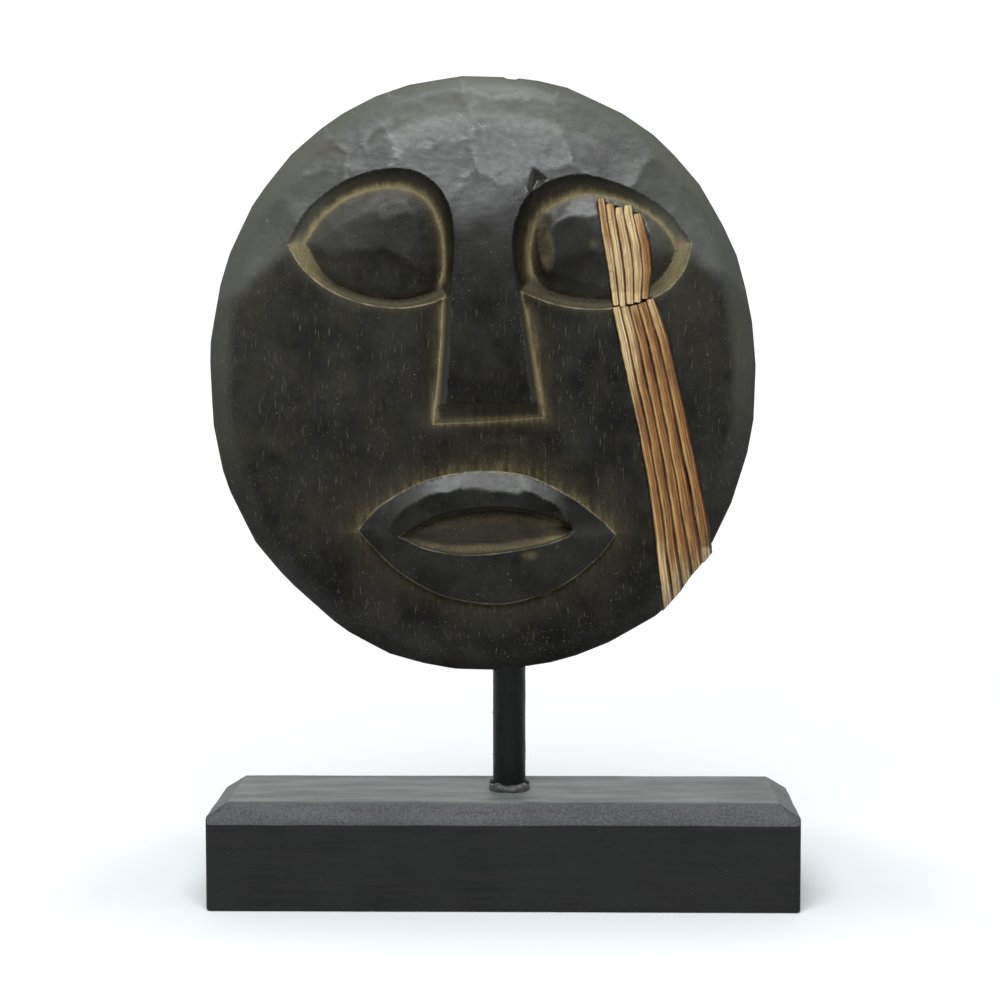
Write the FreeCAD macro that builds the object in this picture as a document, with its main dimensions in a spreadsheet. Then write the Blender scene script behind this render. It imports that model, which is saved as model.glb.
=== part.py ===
import FreeCAD, Part
import math
import os

import Sketcher
from FreeCAD import Placement, Rotation, Vector

# A carved wooden face disc on a round post in a bevelled plinth, with canes let into one eye and cheek.
# Millimetres. +X is to the right, +Y goes away from the viewer, +Z is up. The origin is the middle of
# the plinth's underside. The face looks along -Y.

doc = FreeCAD.newDocument("face_disc_on_stand")

# ---------------------------------------------------------------- driving dimensions

# The carved disc is laid out in a frame of its own: across is to the right and up is up, both from the
# middle of the disc, and thick is measured forward from the flat back.
SIZES = {
    "plinth_width": "285",
    "plinth_depth": "80",
    "plinth_height": "52",
    "front_bevel_drop": "10",
    "front_bevel_run": "6.5",
    "back_bevel_drop": "7",
    "back_bevel_run": "6.5",
    "side_bevel_drop": "7",
    "side_bevel_run": "10.5",

    "post_diameter": "16",
    "post_offset": "2.6",            # the post stands a little right of the plinth's middle
    "post_showing": "60",            # from the plinth's top to the foot of the disc
    "plinth_tenon": "30",            # length of post inside the plinth
    "mask_tenon": "34",              # length of post inside the disc
    "tenon_chamfer": "1",
    "socket_clearance": "0.1",       # radial, round both ends of the post
    "bead_width": "4.5",
    "bead_height": "3.5",

    "screw_diameter": "5",
    "screw_head_diameter": "10",
    "screw_head_height": "3.5",
    "screw_bite": "28",              # length of screw inside the post
    "screw_point": "4",
    "screw_clearance": "0.3",        # radial, in the plinth
    "counterbore_clearance": "1.5",  # radial, round the screw's head
    "counterbore_depth": "12",

    "mask_width": "265",
    "mask_height": "288",
    "mask_offset": "-9.4",           # the disc hangs left of the post's line
    "back_setback": "13",            # the flat back stands this far behind the post's axis
    "rim_flats": "44",               # hewn flats round the rim
    "rim_fullness": "2.1",           # 2 is an ellipse; more is fuller towards the corners
    "rim_thickness": "19.5",
    "rim_ease": "1.08",              # size of the rounding dome against the disc: nearer 1 is tighter
    "cheek_thickness": "33",
    "cheek_radius": "1100",
    "brow_thickness": "42",
    "brow_radius": "415",
    "brow_middle_up": "10",          # the brow's dome is thickest this far above the disc's middle
    "brow_edge_up": "63.5",          # level of the eyes' outer corners

    "nose_top_half": "16",
    "nose_tip_up": "-12.9",
    "nose_tip_left": "-17.3",
    "nose_tip_right": "23.2",
    "nose_flare": "6.5",             # how far the side walls spread at their feet
    "nose_undercut": "8",            # fall of the underside from the tip to its foot

    "socket_depth": "8.5",           # an eye socket's floor, below the cheeks' crown
    "socket_draft": "0.16",          # share by which a socket is smaller at its floor
    "eyeball_rise": "9.5",
    "eyeball_seat_depth": "11",      # the middle of the eyeball's dome, below the cheeks' crown
    "eyeball_half_width": "36",
    "eyeball_half_height": "28.5",
    "left_eye_across": "-52",
    "left_eye_up": "63.5",
    "right_eye_across": "58",
    "right_eye_up": "61",

    "mouth_across": "1.5",
    "mouth_up": "-77",
    "lips_half_width": "62.5",
    "lips_half_height": "32.5",
    "lips_seat_depth": "9",
    "lips_rise": "13.5",
    "slot_half_width": "41.5",
    "slot_half_height": "11.3",
    "slot_depth": "4",

    "canes_in_row": "5",
    "cane_gap": "0.2",
    "cane_proud": "1.2",             # how far a cheek cane stands above the cheek
    "cheek_canes_top_up": "36.5",
    "cheek_canes_top_across": "72",
    "cheek_canes_top_pitch": "4.2",
    "cheek_canes_bend_up": "-38",
    "cheek_canes_bend_across": "88",
    "cheek_canes_bend_pitch": "5.3",
    "cheek_canes_end_across": "108",
    "cheek_canes_end_pitch": "6.1",
    "cheek_canes_end_dip": "3",      # the canes bend down with the rounded rim
    "eye_canes_top_up": "83",
    "eye_canes_top_across": "65.5",
    "eye_canes_top_pitch": "4.3",
    "eye_canes_top_sink": "5.8",       # the canes' axes, below the cheeks' crown
    "eye_canes_bend_up": "60",
    "eye_canes_bend_across": "69",
    "eye_canes_bend_pitch": "4.3",
    "eye_canes_bend_sink": "2.4",
    "eye_canes_foot_up": "38.8",
    "eye_canes_foot_across": "71.5",
    "eye_canes_foot_pitch": "4",
    "eye_canes_foot_sink": "5",
}

sheet = doc.addObject("Spreadsheet::Sheet", "Sizes")
for row, (alias, value) in enumerate(SIZES.items(), start=1):
    sheet.set(f"A{row}", alias)
    sheet.set(f"B{row}", value)
    sheet.setAlias(f"B{row}", alias)
doc.recompute()


def size(alias):
    """A driving dimension, read from the sheet."""
    return float(sheet.get(alias))


# Expressions that more than one piece uses. Each is worked out from the sheet.
PLINTH_TOP = "Sizes.plinth_height"
MASK_FOOT = "(Sizes.plinth_height + Sizes.post_showing)"
MASK_MIDDLE_UP = f"({MASK_FOOT} + Sizes.mask_height / 2)"
POST_FOOT = "(Sizes.plinth_height - Sizes.plinth_tenon)"
POST_LENGTH = "(Sizes.plinth_tenon + Sizes.post_showing + Sizes.mask_tenon)"
SOCKET_RADIUS = "(Sizes.post_diameter / 2 + Sizes.socket_clearance)"
COUNTERBORE_RADIUS = "(Sizes.screw_head_diameter / 2 + Sizes.counterbore_clearance)"
SCREW_HOLE_RADIUS = "(Sizes.screw_diameter / 2 + Sizes.screw_clearance)"

SPARE = 5.0          # how far a cutting tool reaches past what it cuts
BLOCK_HEIGHT = 60.0  # height of the rough blocks that the domes trim


def bind(item, **expressions):
    """Tie an object's properties to expressions. A double underscore in a name stands for a dot."""
    for name, expression in expressions.items():
        item.setExpression(name.replace("__", "."), expression)
    return item


# ---------------------------------------------------------------- helpers for bodies made from sketches


def new_sketch(body, name, role):
    """A sketch on one of the body's own origin planes."""
    sketch = body.newObject("Sketcher::SketchObject", name)
    plane = next(item for item in body.Origin.OriginFeatures if item.Role == role)
    sketch.AttachmentSupport = (plane, [""])
    sketch.MapMode = "FlatFace"
    return sketch


def draw_loop(sketch, points):
    """A closed loop of straight lines."""
    corners = [Vector(x, y, 0) for x, y in points]
    for start, end in zip(corners, corners[1:] + corners[:1]):
        sketch.addGeometry(Part.LineSegment(start, end))


def draw_rectangle(sketch, width, depth):
    """A rectangle about the sketch's origin, its two sides tied to the sheet."""
    draw_loop(sketch, [(-1, -1), (1, -1), (1, 1), (-1, 1)])
    for side in range(4):
        sketch.addConstraint(Sketcher.Constraint("Coincident", side, 2, (side + 1) % 4, 1))
        direction = "Horizontal" if side % 2 == 0 else "Vertical"
        sketch.addConstraint(Sketcher.Constraint(direction, side))
    sketch.addConstraint(Sketcher.Constraint("Symmetric", 0, 1, 1, 2, -1, 1))
    across = sketch.addConstraint(Sketcher.Constraint("DistanceX", 0, 1, 0, 2, 2.0))
    along = sketch.addConstraint(Sketcher.Constraint("DistanceY", 1, 1, 1, 2, 2.0))
    sketch.setExpression(f"Constraints[{across}]", width)
    sketch.setExpression(f"Constraints[{along}]", depth)


def draw_circle(sketch, radius, across="0"):
    """A circle on the sketch's first axis, its radius and place tied to the sheet."""
    sketch.addGeometry(Part.Circle(Vector(1, 0, 0), Vector(0, 0, 1), 1.0))
    round_size = sketch.addConstraint(Sketcher.Constraint("Radius", 0, 1.0))
    place = sketch.addConstraint(Sketcher.Constraint("DistanceX", -1, 1, 0, 3, 1.0))
    sketch.addConstraint(Sketcher.Constraint("PointOnObject", 0, 3, -1))
    sketch.setExpression(f"Constraints[{round_size}]", radius)
    sketch.setExpression(f"Constraints[{place}]", across)


def add_cut(body, name, sketch, length, reversed_side):
    """A pocket of a given depth, which must take material away."""
    before = body.Shape.Volume
    pocket = body.newObject("PartDesign::Pocket", name)
    pocket.Profile = sketch
    pocket.Reversed = reversed_side
    bind(pocket, Length=length)
    doc.recompute()
    if body.Shape.Volume >= before:
        raise RuntimeError(f"{name} cuts nothing")
    return pocket


def edges_where(shape, test):
    """Names of the edges whose middle passes a test."""
    names = []
    for number, edge in enumerate(shape.Edges, start=1):
        if test(edge.CenterOfMass):
            names.append(f"Edge{number}")
    return names


def add_bevel(body, name, base, edges, first, second):
    """A chamfer with two different distances."""
    bevel = body.newObject("PartDesign::Chamfer", name)
    bevel.Base = (base, edges)
    bevel.ChamferType = "Two distances"
    bind(bevel, Size=first, Size2=second)
    doc.recompute()
    return bevel


def near(value, target):
    return abs(value - target) < 0.01


# ---------------------------------------------------------------- plinth


def make_plinth():
    """A solid block. Its top edges are bevelled, the front one lower than the others."""
    body = doc.addObject("PartDesign::Body", "plinth")
    outline = new_sketch(body, "plinth_outline", "XY_Plane")
    draw_rectangle(outline, "Sizes.plinth_width", "Sizes.plinth_depth")
    block = body.newObject("PartDesign::Pad", "plinth_block")
    block.Profile = outline
    bind(block, Length=PLINTH_TOP)
    doc.recompute()

    top = size("plinth_height")
    side = size("plinth_width") / 2
    front = -size("plinth_depth") / 2
    ends = edges_where(block.Shape, lambda p: near(p.z, top) and near(abs(p.x), side))
    block = add_bevel(body, "end_bevels", block, ends, "Sizes.side_bevel_run", "Sizes.side_bevel_drop")
    back = edges_where(block.Shape, lambda p: near(p.z, top) and near(p.y, -front))
    block = add_bevel(body, "back_bevel", block, back, "Sizes.back_bevel_drop", "Sizes.back_bevel_run")
    face = edges_where(block.Shape, lambda p: near(p.z, top) and near(p.y, front))
    add_bevel(body, "front_bevel", block, face, "Sizes.front_bevel_drop", "Sizes.front_bevel_run")

    socket = new_sketch(body, "plinth_socket_outline", "XY_Plane")
    bind(socket, AttachmentOffset__Base__z=PLINTH_TOP)
    draw_circle(socket, SOCKET_RADIUS, "Sizes.post_offset")
    add_cut(body, "plinth_socket", socket, "Sizes.plinth_tenon", False)

    head_room = new_sketch(body, "counterbore_outline", "XY_Plane")
    draw_circle(head_room, COUNTERBORE_RADIUS, "Sizes.post_offset")
    add_cut(body, "counterbore", head_room, "Sizes.counterbore_depth", True)

    passage = new_sketch(body, "screw_passage_outline", "XY_Plane")
    draw_circle(passage, SCREW_HOLE_RADIUS, "Sizes.post_offset")
    add_cut(body, "screw_passage", passage, POST_FOOT, True)
    return body


# ---------------------------------------------------------------- post, its screw and its bead


def spin_profile(body, name, points):
    """Turn a closed half-outline once round the upright axis."""
    profile = new_sketch(body, f"{name}_profile", "XZ_Plane")
    draw_loop(profile, points)
    turning = body.newObject("PartDesign::Revolution", f"{name}_turning")
    turning.Profile = profile
    turning.ReferenceAxis = (profile, ["V_Axis"])
    turning.Angle = 360
    doc.recompute()
    return turning


def make_post():
    """A dowel, chamfered at both ends, with a pilot hole for the screw in its foot."""
    body = doc.addObject("PartDesign::Body", "post")
    outline = new_sketch(body, "post_outline", "XY_Plane")
    draw_circle(outline, "Sizes.post_diameter / 2")
    dowel = body.newObject("PartDesign::Pad", "post_dowel")
    dowel.Profile = outline
    bind(dowel, Length=POST_LENGTH)
    doc.recompute()
    chamfer = body.newObject("PartDesign::Chamfer", "post_end_chamfers")
    chamfer.Base = (dowel, edges_where(dowel.Shape, lambda p: near(p.x, 0)))
    bind(chamfer, Size="Sizes.tenon_chamfer")
    doc.recompute()
    pilot = new_sketch(body, "pilot_outline", "XY_Plane")
    draw_circle(pilot, "Sizes.screw_diameter / 2")
    add_cut(body, "pilot_hole", pilot, "Sizes.screw_bite", True)
    bind(body, Placement__Base__x="Sizes.post_offset", Placement__Base__z=POST_FOOT)
    return body


def make_screw():
    """A round-headed wood screw that seats on the counterbore's floor and fills the post's pilot hole."""
    body = doc.addObject("PartDesign::Body", "plinth_screw")
    shank = size("screw_diameter") / 2
    head = size("screw_head_diameter") / 2
    web = size("plinth_height") - size("plinth_tenon") - size("counterbore_depth")
    tip = web + size("screw_bite")
    shoulder = tip - size("screw_point")
    brim = size("screw_head_height") / 4
    crown = size("screw_head_height")
    spin_profile(body, "screw", [
        (0, -crown),
        (head * 0.6, -crown),
        (head, -brim),
        (head, 0),
        (shank, 0),
        (shank, shoulder),
        (0, tip),
    ])
    bind(body, Placement__Base__x="Sizes.post_offset", Placement__Base__z="Sizes.counterbore_depth")
    return body


def make_bead():
    """The hollow-faced bead of glue in the corner between the post and the plinth's top."""
    body = doc.addObject("PartDesign::Body", "foot_bead")
    inner = size("post_diameter") / 2
    outer = inner + size("bead_width")
    crown = size("bead_height")
    profile = new_sketch(body, "bead_profile", "XZ_Plane")
    foot = Vector(inner, 0, 0)
    toe = Vector(outer, 0, 0)
    top = Vector(inner, crown, 0)
    sag = Vector(inner + size("bead_width") * 0.36, crown * 0.36, 0)
    profile.addGeometry(Part.LineSegment(foot, toe))
    profile.addGeometry(Part.Arc(toe, sag, top))
    profile.addGeometry(Part.LineSegment(top, foot))
    turning = body.newObject("PartDesign::Revolution", "bead_turning")
    turning.Profile = profile
    turning.ReferenceAxis = (profile, ["V_Axis"])
    turning.Angle = 360
    bind(body, Placement__Base__x="Sizes.post_offset", Placement__Base__z=PLINTH_TOP)
    doc.recompute()
    return body


# ---------------------------------------------------------------- carved disc
# Local axes of the disc: x is across, y is up and z is thick. One turn about X stands it upright.


def outline_wire(points, thick):
    """A closed wire at one thickness. A plain corner is (x, y); (x, y, mid_x, mid_y) bows to the next."""
    edges = []
    for start, end in zip(points, points[1:] + points[:1]):
        first = Vector(start[0], start[1], thick)
        last = Vector(end[0], end[1], thick)
        if len(start) == 2:
            edges.append(Part.LineSegment(first, last).toShape())
        else:
            edges.append(Part.Arc(first, Vector(start[2], start[3], thick), last).toShape())
    return Part.Wire(edges)


def wire_object(name, wire):
    item = doc.addObject("Part::Feature", name)
    item.Shape = wire
    return item


def extrude(name, wire, height):
    """A straight block standing on a wire."""
    block = doc.addObject("Part::Extrusion", name)
    block.Base = wire_object(f"{name}_outline", wire)
    block.DirMode = "Custom"
    block.Dir = Vector(0, 0, 1)
    block.LengthFwd = height
    block.Solid = True
    return block


def combine(kind, name, items):
    item = doc.addObject(kind, name)
    item.Shapes = items
    return item


def subtract(name, base, tool):
    item = doc.addObject("Part::Cut", name)
    item.Base = base
    item.Tool = tool
    return item


def rim_points():
    """Corners of the hewn rim, evenly spread round a full oval."""
    flats = int(size("rim_flats"))
    power = 2 / size("rim_fullness")
    half_width = size("mask_width") / 2
    half_height = size("mask_height") / 2
    points = []
    for number in range(flats):
        turn = 2 * math.pi * number / flats
        across = math.copysign(abs(math.cos(turn)) ** power, math.cos(turn))
        upward = math.copysign(abs(math.sin(turn)) ** power, math.sin(turn))
        points.append((half_width * across, half_height * upward))
    return points


def socket_floor():
    """Thickness of wood left under the eyes and the nose's foot."""
    return size("cheek_thickness") - size("socket_depth")


def make_dome(name, radius, thickness, middle_up="0"):
    """A ball whose front gives a carved surface its bulge."""
    ball = doc.addObject("Part::Sphere", name)
    return bind(
        ball,
        Radius=radius,
        Placement__Base__y=middle_up,
        Placement__Base__z=f"{thickness} - {radius}",
    )


def make_rim_dome():
    """A flattened ball a little larger than the disc. It rounds the rim all the way round."""
    dome = doc.addObject("Part::Ellipsoid", "rim_dome")
    dome.Angle1 = -90
    dome.Angle2 = 90
    dome.Angle3 = 360
    return bind(
        dome,
        Radius1="Sizes.rim_thickness / sqrt(1 - 1 / Sizes.rim_ease ^ 2)",
        Radius2="Sizes.mask_width / 2 * Sizes.rim_ease",
        Radius3="Sizes.mask_height / 2 * Sizes.rim_ease",
    )


def make_blank(disc):
    """Disc with the lower cheek level and the thicker brow above the eyes."""
    cheek_dome = make_dome("cheek_dome", "Sizes.cheek_radius", "Sizes.cheek_thickness")
    brow_dome = make_dome(
        "brow_dome", "Sizes.brow_radius", "Sizes.brow_thickness", "Sizes.brow_middle_up"
    )
    cheeks = combine("Part::MultiCommon", "cheeks", [disc, cheek_dome])
    above = doc.addObject("Part::Box", "above_the_eyes")
    bind(
        above,
        Length="Sizes.mask_width",
        Width="Sizes.mask_height",
        Height=f"{BLOCK_HEIGHT}",
        Placement__Base__x="-Sizes.mask_width / 2",
        Placement__Base__y="Sizes.brow_edge_up",
    )
    brow = combine("Part::MultiCommon", "brow", [disc, brow_dome, above])
    nose = combine("Part::MultiCommon", "nose", [make_nose_block(), brow_dome])
    levels = combine("Part::MultiFuse", "carved_levels", [cheeks, brow, nose])
    return combine("Part::MultiCommon", "carved_blank", [levels, make_rim_dome()])


def make_nose_block():
    """A long flared wedge: narrow in front, wider at its feet, and cut back underneath."""
    top = size("brow_edge_up") + SPARE
    half = size("nose_top_half")
    tip = size("nose_tip_up")
    left = size("nose_tip_left")
    right = size("nose_tip_right")
    flare = size("nose_flare")
    fall = size("nose_undercut")
    front = [(-half, top), (left, tip), (right, tip), (half, top)]
    foot = [
        (-half - flare, top),
        (left - flare, tip - fall),
        (right + flare, tip - fall),
        (half + flare, top),
    ]
    block = doc.addObject("Part::Loft", "nose_block")
    block.Sections = [
        wire_object("nose_foot", outline_wire(foot, socket_floor())),
        wire_object("nose_front", outline_wire(front, size("brow_thickness"))),
    ]
    block.Solid = True
    block.Ruled = True
    return block


# Eye sockets, from the middle of the eye: outer corner, top of the crest, inner corner and nose-side
# foot, each with the middle of the bow that leads to the next one.
LEFT_SOCKET = [
    (-42.3, 0, -23.5, 25.0),
    (6, 35.7, 30.7, 27.0),
    (38.5, 1.5),
    (34.5, -29, -6, -34),
]
RIGHT_SOCKET = [
    (42.2, 2.6, 20, 28.6),
    (-11.5, 35.1, -35.2, 27),
    (-43.7, 4),
    (-41.5, -20, 2, -33),
]


def make_socket(name, corners, across, upward):
    """A bowl-sided cut round one eye, smaller at its floor than at the brow."""
    floor = socket_floor()
    top = size("brow_thickness") + SPARE
    crest = size("brow_thickness") - 4
    draft = size("socket_draft")
    sections = []
    for label, thick in (("floor", floor), ("mouth", top)):
        share = 1 + draft * (thick - crest) / (crest - floor)
        points = []
        for corner in corners:
            offsets = (across, upward) * (len(corner) // 2)
            points.append(tuple(share * value + offset for value, offset in zip(corner, offsets)))
        sections.append(wire_object(f"{name}_{label}", outline_wire(points, thick)))
    socket = doc.addObject("Part::Loft", name)
    socket.Sections = sections
    socket.Solid = True
    socket.Ruled = True
    return socket


def make_eyeball(name, side):
    """The domed eye that is left standing in its socket."""
    ball = doc.addObject("Part::Ellipsoid", name)
    ball.Angle1 = -90
    ball.Angle2 = 90
    ball.Angle3 = 360
    return bind(
        ball,
        Radius1="Sizes.eyeball_rise",
        Radius2="Sizes.eyeball_half_width",
        Radius3="Sizes.eyeball_half_height",
        Placement__Base__x=f"Sizes.{side}_eye_across",
        Placement__Base__y=f"Sizes.{side}_eye_up",
        Placement__Base__z="Sizes.cheek_thickness - Sizes.eyeball_seat_depth",
    )


def make_leaf(name, half_width, half_height, low, high):
    """A pointed oval block about the middle of the mouth."""
    across = size("mouth_across")
    upward = size("mouth_up")
    wide = size(half_width)
    tall = size(half_height)
    outline = [
        (across - wide, upward, across, upward + tall),
        (across + wide, upward, across, upward - tall),
    ]
    return extrude(name, outline_wire(outline, low), high - low)


def make_lips():
    """The raised mouth: a pointed oval with a bulging front."""
    block = make_leaf("lips_block", "lips_half_width", "lips_half_height", 0, BLOCK_HEIGHT)
    dome = doc.addObject("Part::Ellipsoid", "lips_dome")
    dome.Angle1 = -90
    dome.Angle2 = 90
    dome.Angle3 = 360
    bind(
        dome,
        Radius1="Sizes.lips_rise",
        Radius2="Sizes.lips_half_width * 1.25",
        Radius3="Sizes.lips_half_height * 1.4",
        Placement__Base__x="Sizes.mouth_across",
        Placement__Base__y="Sizes.mouth_up",
        Placement__Base__z="Sizes.cheek_thickness - Sizes.lips_seat_depth",
    )
    return combine("Part::MultiCommon", "lips", [block, dome])


def make_mask_socket():
    """The hole in the disc's foot that takes the post."""
    hole = doc.addObject("Part::Cylinder", "mask_socket")
    hole.Placement = Placement(Vector(0, 0, 0), Rotation(Vector(1, 0, 0), -90))
    return bind(
        hole,
        Radius=SOCKET_RADIUS,
        Height=f"Sizes.mask_tenon + {SPARE}",
        Placement__Base__x="Sizes.post_offset - Sizes.mask_offset",
        Placement__Base__y=f"-Sizes.mask_height / 2 - {SPARE}",
        Placement__Base__z="Sizes.back_setback",
    )


def stand_upright(item):
    """Turn a piece from the disc's own axes to its place on the stand."""
    item.Placement = Placement(Vector(0, 0, 0), Rotation(Vector(1, 0, 0), 90))
    return bind(
        item,
        Placement__Base__x="Sizes.mask_offset",
        Placement__Base__y="Sizes.back_setback",
        Placement__Base__z=MASK_MIDDLE_UP,
    )


# ---------------------------------------------------------------- canes


def cane_section(name, across, upward, thick, radius):
    """One round section of a cane, facing along the disc's up axis."""
    ring = doc.addObject("Part::Circle", name)
    ring.Placement = Placement(Vector(0, 0, 0), Rotation(Vector(1, 0, 0), -90))
    return bind(
        ring,
        Radius=radius,
        Placement__Base__x=across,
        Placement__Base__y=upward,
        Placement__Base__z=thick,
    )


def loft_cane(name, sections):
    rod = doc.addObject("Part::Loft", name)
    rod.Sections = sections
    rod.Solid = True
    return rod


def row_place(strip, station, number):
    """Where one cane of a strip crosses a station, and its radius there."""
    step = f"({number} - (Sizes.canes_in_row - 1) / 2)"
    across = f"(Sizes.{strip}_{station}_across + {step} * Sizes.{strip}_{station}_pitch)"
    radius = f"((Sizes.{strip}_{station}_pitch - Sizes.cane_gap) / 2)"
    return across, radius


def cheek_height(across, upward):
    """Expression for the cheek's thickness at a place."""
    bulge = f"sqrt(Sizes.cheek_radius ^ 2 - {across} ^ 2 - {upward} ^ 2)"
    return f"(Sizes.cheek_thickness - Sizes.cheek_radius + {bulge})"


def make_cheek_rod(number):
    """A tapered cane bedded in the cheek. It runs from under the eye to just past the rim."""
    stations = {
        "top": "Sizes.cheek_canes_top_up",
        "bend": "Sizes.cheek_canes_bend_up",
        "end": "(-Sizes.mask_height / 2)",
    }
    sections = []
    for station, upward in stations.items():
        across, radius = row_place("cheek_canes", station, number)
        dip = "Sizes.cheek_canes_end_dip" if station == "end" else "0"
        thick = f"{cheek_height(across, upward)} + Sizes.cane_proud - {radius} - {dip}"
        name = f"cheek_rod_{number + 1}_{station}"
        sections.append(cane_section(name, across, upward, thick, radius))
    return loft_cane(f"cheek_rod_{number + 1}", sections)


def make_eye_rod(number):
    """A short cane bent over the eyeball."""
    sections = []
    for station in ("top", "bend", "foot"):
        across, radius = row_place("eye_canes", station, number)
        name = f"eye_rod_{number + 1}_{station}"
        upward = f"Sizes.eye_canes_{station}_up"
        thick = f"Sizes.cheek_thickness - Sizes.eye_canes_{station}_sink"
        sections.append(cane_section(name, across, upward, thick, radius))
    return loft_cane(f"eye_rod_{number + 1}", sections)


def trim_cane(name, rod, disc):
    """A finished cane: its rod, cut flush with the disc's rim and stood in its place."""
    return stand_upright(combine("Part::MultiCommon", name, [rod, disc]))


# ---------------------------------------------------------------- the assembly


def make_mask(disc, rods):
    """The blank with its sockets, eyeballs, mouth, post hole and a bed for every cane."""
    sockets = [
        make_socket("left_socket", LEFT_SOCKET, size("left_eye_across"), size("left_eye_up")),
        make_socket("right_socket", RIGHT_SOCKET, size("right_eye_across"), size("right_eye_up")),
    ]
    hollowed = subtract(
        "hollowed_blank", make_blank(disc), combine("Part::MultiFuse", "sockets", sockets)
    )
    raised = [make_eyeball("left_eyeball", "left"), make_eyeball("right_eyeball", "right"), make_lips()]
    relief = combine("Part::MultiFuse", "relief", [hollowed] + raised)
    slot_floor = size("cheek_thickness") - size("slot_depth")
    slot = make_leaf("mouth_slot", "slot_half_width", "slot_half_height", slot_floor, BLOCK_HEIGHT)
    cuts = combine("Part::MultiFuse", "mask_cuts", [slot, make_mask_socket()] + rods)
    return stand_upright(subtract("carved_mask", relief, cuts))


def check_parts(parts):
    """Stop if any object failed or any piece has no good solid."""
    doc.recompute()
    for item in doc.Objects:
        if {"Invalid", "Error"} & set(item.State):
            raise RuntimeError(f"{item.Name} failed: {item.State}")
    for part in parts:
        if part.Shape.isNull() or not part.Shape.isValid() or len(part.Shape.Solids) != 1:
            raise RuntimeError(f"{part.Label} has no good solid: {len(part.Shape.Solids)}")


def write_parts(parts):
    os.makedirs("parts", exist_ok=True)
    for part in parts:
        part.Shape.exportStep(f"parts/{part.Label}.step")


disc_block = extrude("disc_block", outline_wire(rim_points(), 0), BLOCK_HEIGHT)
cane_numbers = range(int(size("canes_in_row")))
cheek_rods = [make_cheek_rod(number) for number in cane_numbers]
eye_rods = [make_eye_rod(number) for number in cane_numbers]

pieces = [
    make_plinth(),
    make_post(),
    make_screw(),
    make_bead(),
    make_mask(disc_block, cheek_rods + eye_rods),
]
for row_number in cane_numbers:
    pieces.append(trim_cane(f"cheek_cane_{row_number + 1}", cheek_rods[row_number], disc_block))
    pieces.append(trim_cane(f"eye_cane_{row_number + 1}", eye_rods[row_number], disc_block))

check_parts(pieces)
write_parts(pieces)
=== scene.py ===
import math

import bpy
import numpy as np
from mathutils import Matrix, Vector
from mathutils.geometry import delaunay_2d_cdt
from mathutils.kdtree import KDTree


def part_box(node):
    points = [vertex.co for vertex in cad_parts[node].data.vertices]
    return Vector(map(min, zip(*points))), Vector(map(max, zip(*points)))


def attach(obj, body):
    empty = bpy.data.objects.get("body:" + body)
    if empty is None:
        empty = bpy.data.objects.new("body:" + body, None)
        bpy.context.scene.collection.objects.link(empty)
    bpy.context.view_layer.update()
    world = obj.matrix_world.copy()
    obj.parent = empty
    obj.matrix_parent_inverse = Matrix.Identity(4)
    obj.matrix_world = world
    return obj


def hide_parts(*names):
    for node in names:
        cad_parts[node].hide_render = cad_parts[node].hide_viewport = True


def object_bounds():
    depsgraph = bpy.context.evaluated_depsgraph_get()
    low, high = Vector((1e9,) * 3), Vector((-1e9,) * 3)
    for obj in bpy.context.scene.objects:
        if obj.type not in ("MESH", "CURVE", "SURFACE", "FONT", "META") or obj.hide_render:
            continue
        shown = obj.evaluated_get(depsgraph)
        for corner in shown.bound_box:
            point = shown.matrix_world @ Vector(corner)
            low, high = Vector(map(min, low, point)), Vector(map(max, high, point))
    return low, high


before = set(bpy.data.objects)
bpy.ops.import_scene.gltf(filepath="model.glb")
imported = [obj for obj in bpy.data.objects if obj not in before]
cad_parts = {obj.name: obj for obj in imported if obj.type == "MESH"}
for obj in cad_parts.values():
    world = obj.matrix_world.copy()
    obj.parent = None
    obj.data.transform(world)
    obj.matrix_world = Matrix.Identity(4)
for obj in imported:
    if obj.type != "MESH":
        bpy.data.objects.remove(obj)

CAD_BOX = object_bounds()
MM = 0.001
ROOT = "root"


# ================================================================ places taken from the frame

def box_mm(node):
    """Lowest and highest corners of a node, in millimetres."""
    low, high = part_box(node)
    return np.array(low) / MM, np.array(high) / MM


disc_low, disc_high = box_mm("carved_mask")
plinth_low, plinth_high = box_mm("plinth")
post_low, post_high = box_mm("post")
bead_low, bead_high = box_mm("foot_bead")
screw_low, screw_high = box_mm("plinth_screw")

# The disc's own axes: across to the right and up from its middle, thick forward from its flat back.
DISC_ACROSS = (disc_low[0] + disc_high[0]) / 2
DISC_UP = (disc_low[2] + disc_high[2]) / 2
DISC_BACK = disc_high[1]
HALF_WIDTH = (disc_high[0] - disc_low[0]) / 2
HALF_HEIGHT = (disc_high[2] - disc_low[2]) / 2


def on_disc(across, up, thick):
    """Millimetres on the disc to metres in the frame."""
    places = np.empty((len(across), 3))
    places[:, 0] = (DISC_ACROSS + across) * MM
    places[:, 1] = (DISC_BACK - thick) * MM
    places[:, 2] = (DISC_UP + up) * MM
    return places


# ================================================================ curves, distances and noise

LINE_STEP = 0.8


def smooth_line(points):
    """Closely spaced points on a smooth line through the given ones."""
    points = np.array(points, float)
    before = 2 * points[0] - points[1]
    after = 2 * points[-1] - points[-2]
    knots = np.vstack([before, points, after])
    dense = []
    for i in range(1, len(knots) - 2):
        p0, p1, p2, p3 = knots[i - 1:i + 3]
        t = np.linspace(0, 1, 24, endpoint=False)[:, None]
        dense.append(0.5 * (
            2 * p1 + (p2 - p0) * t
            + (2 * p0 - 5 * p1 + 4 * p2 - p3) * t ** 2
            + (3 * p1 - p0 - 3 * p2 + p3) * t ** 3
        ))
    dense = np.vstack(dense + [points[-1:]])
    return evenly(dense, LINE_STEP)


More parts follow.
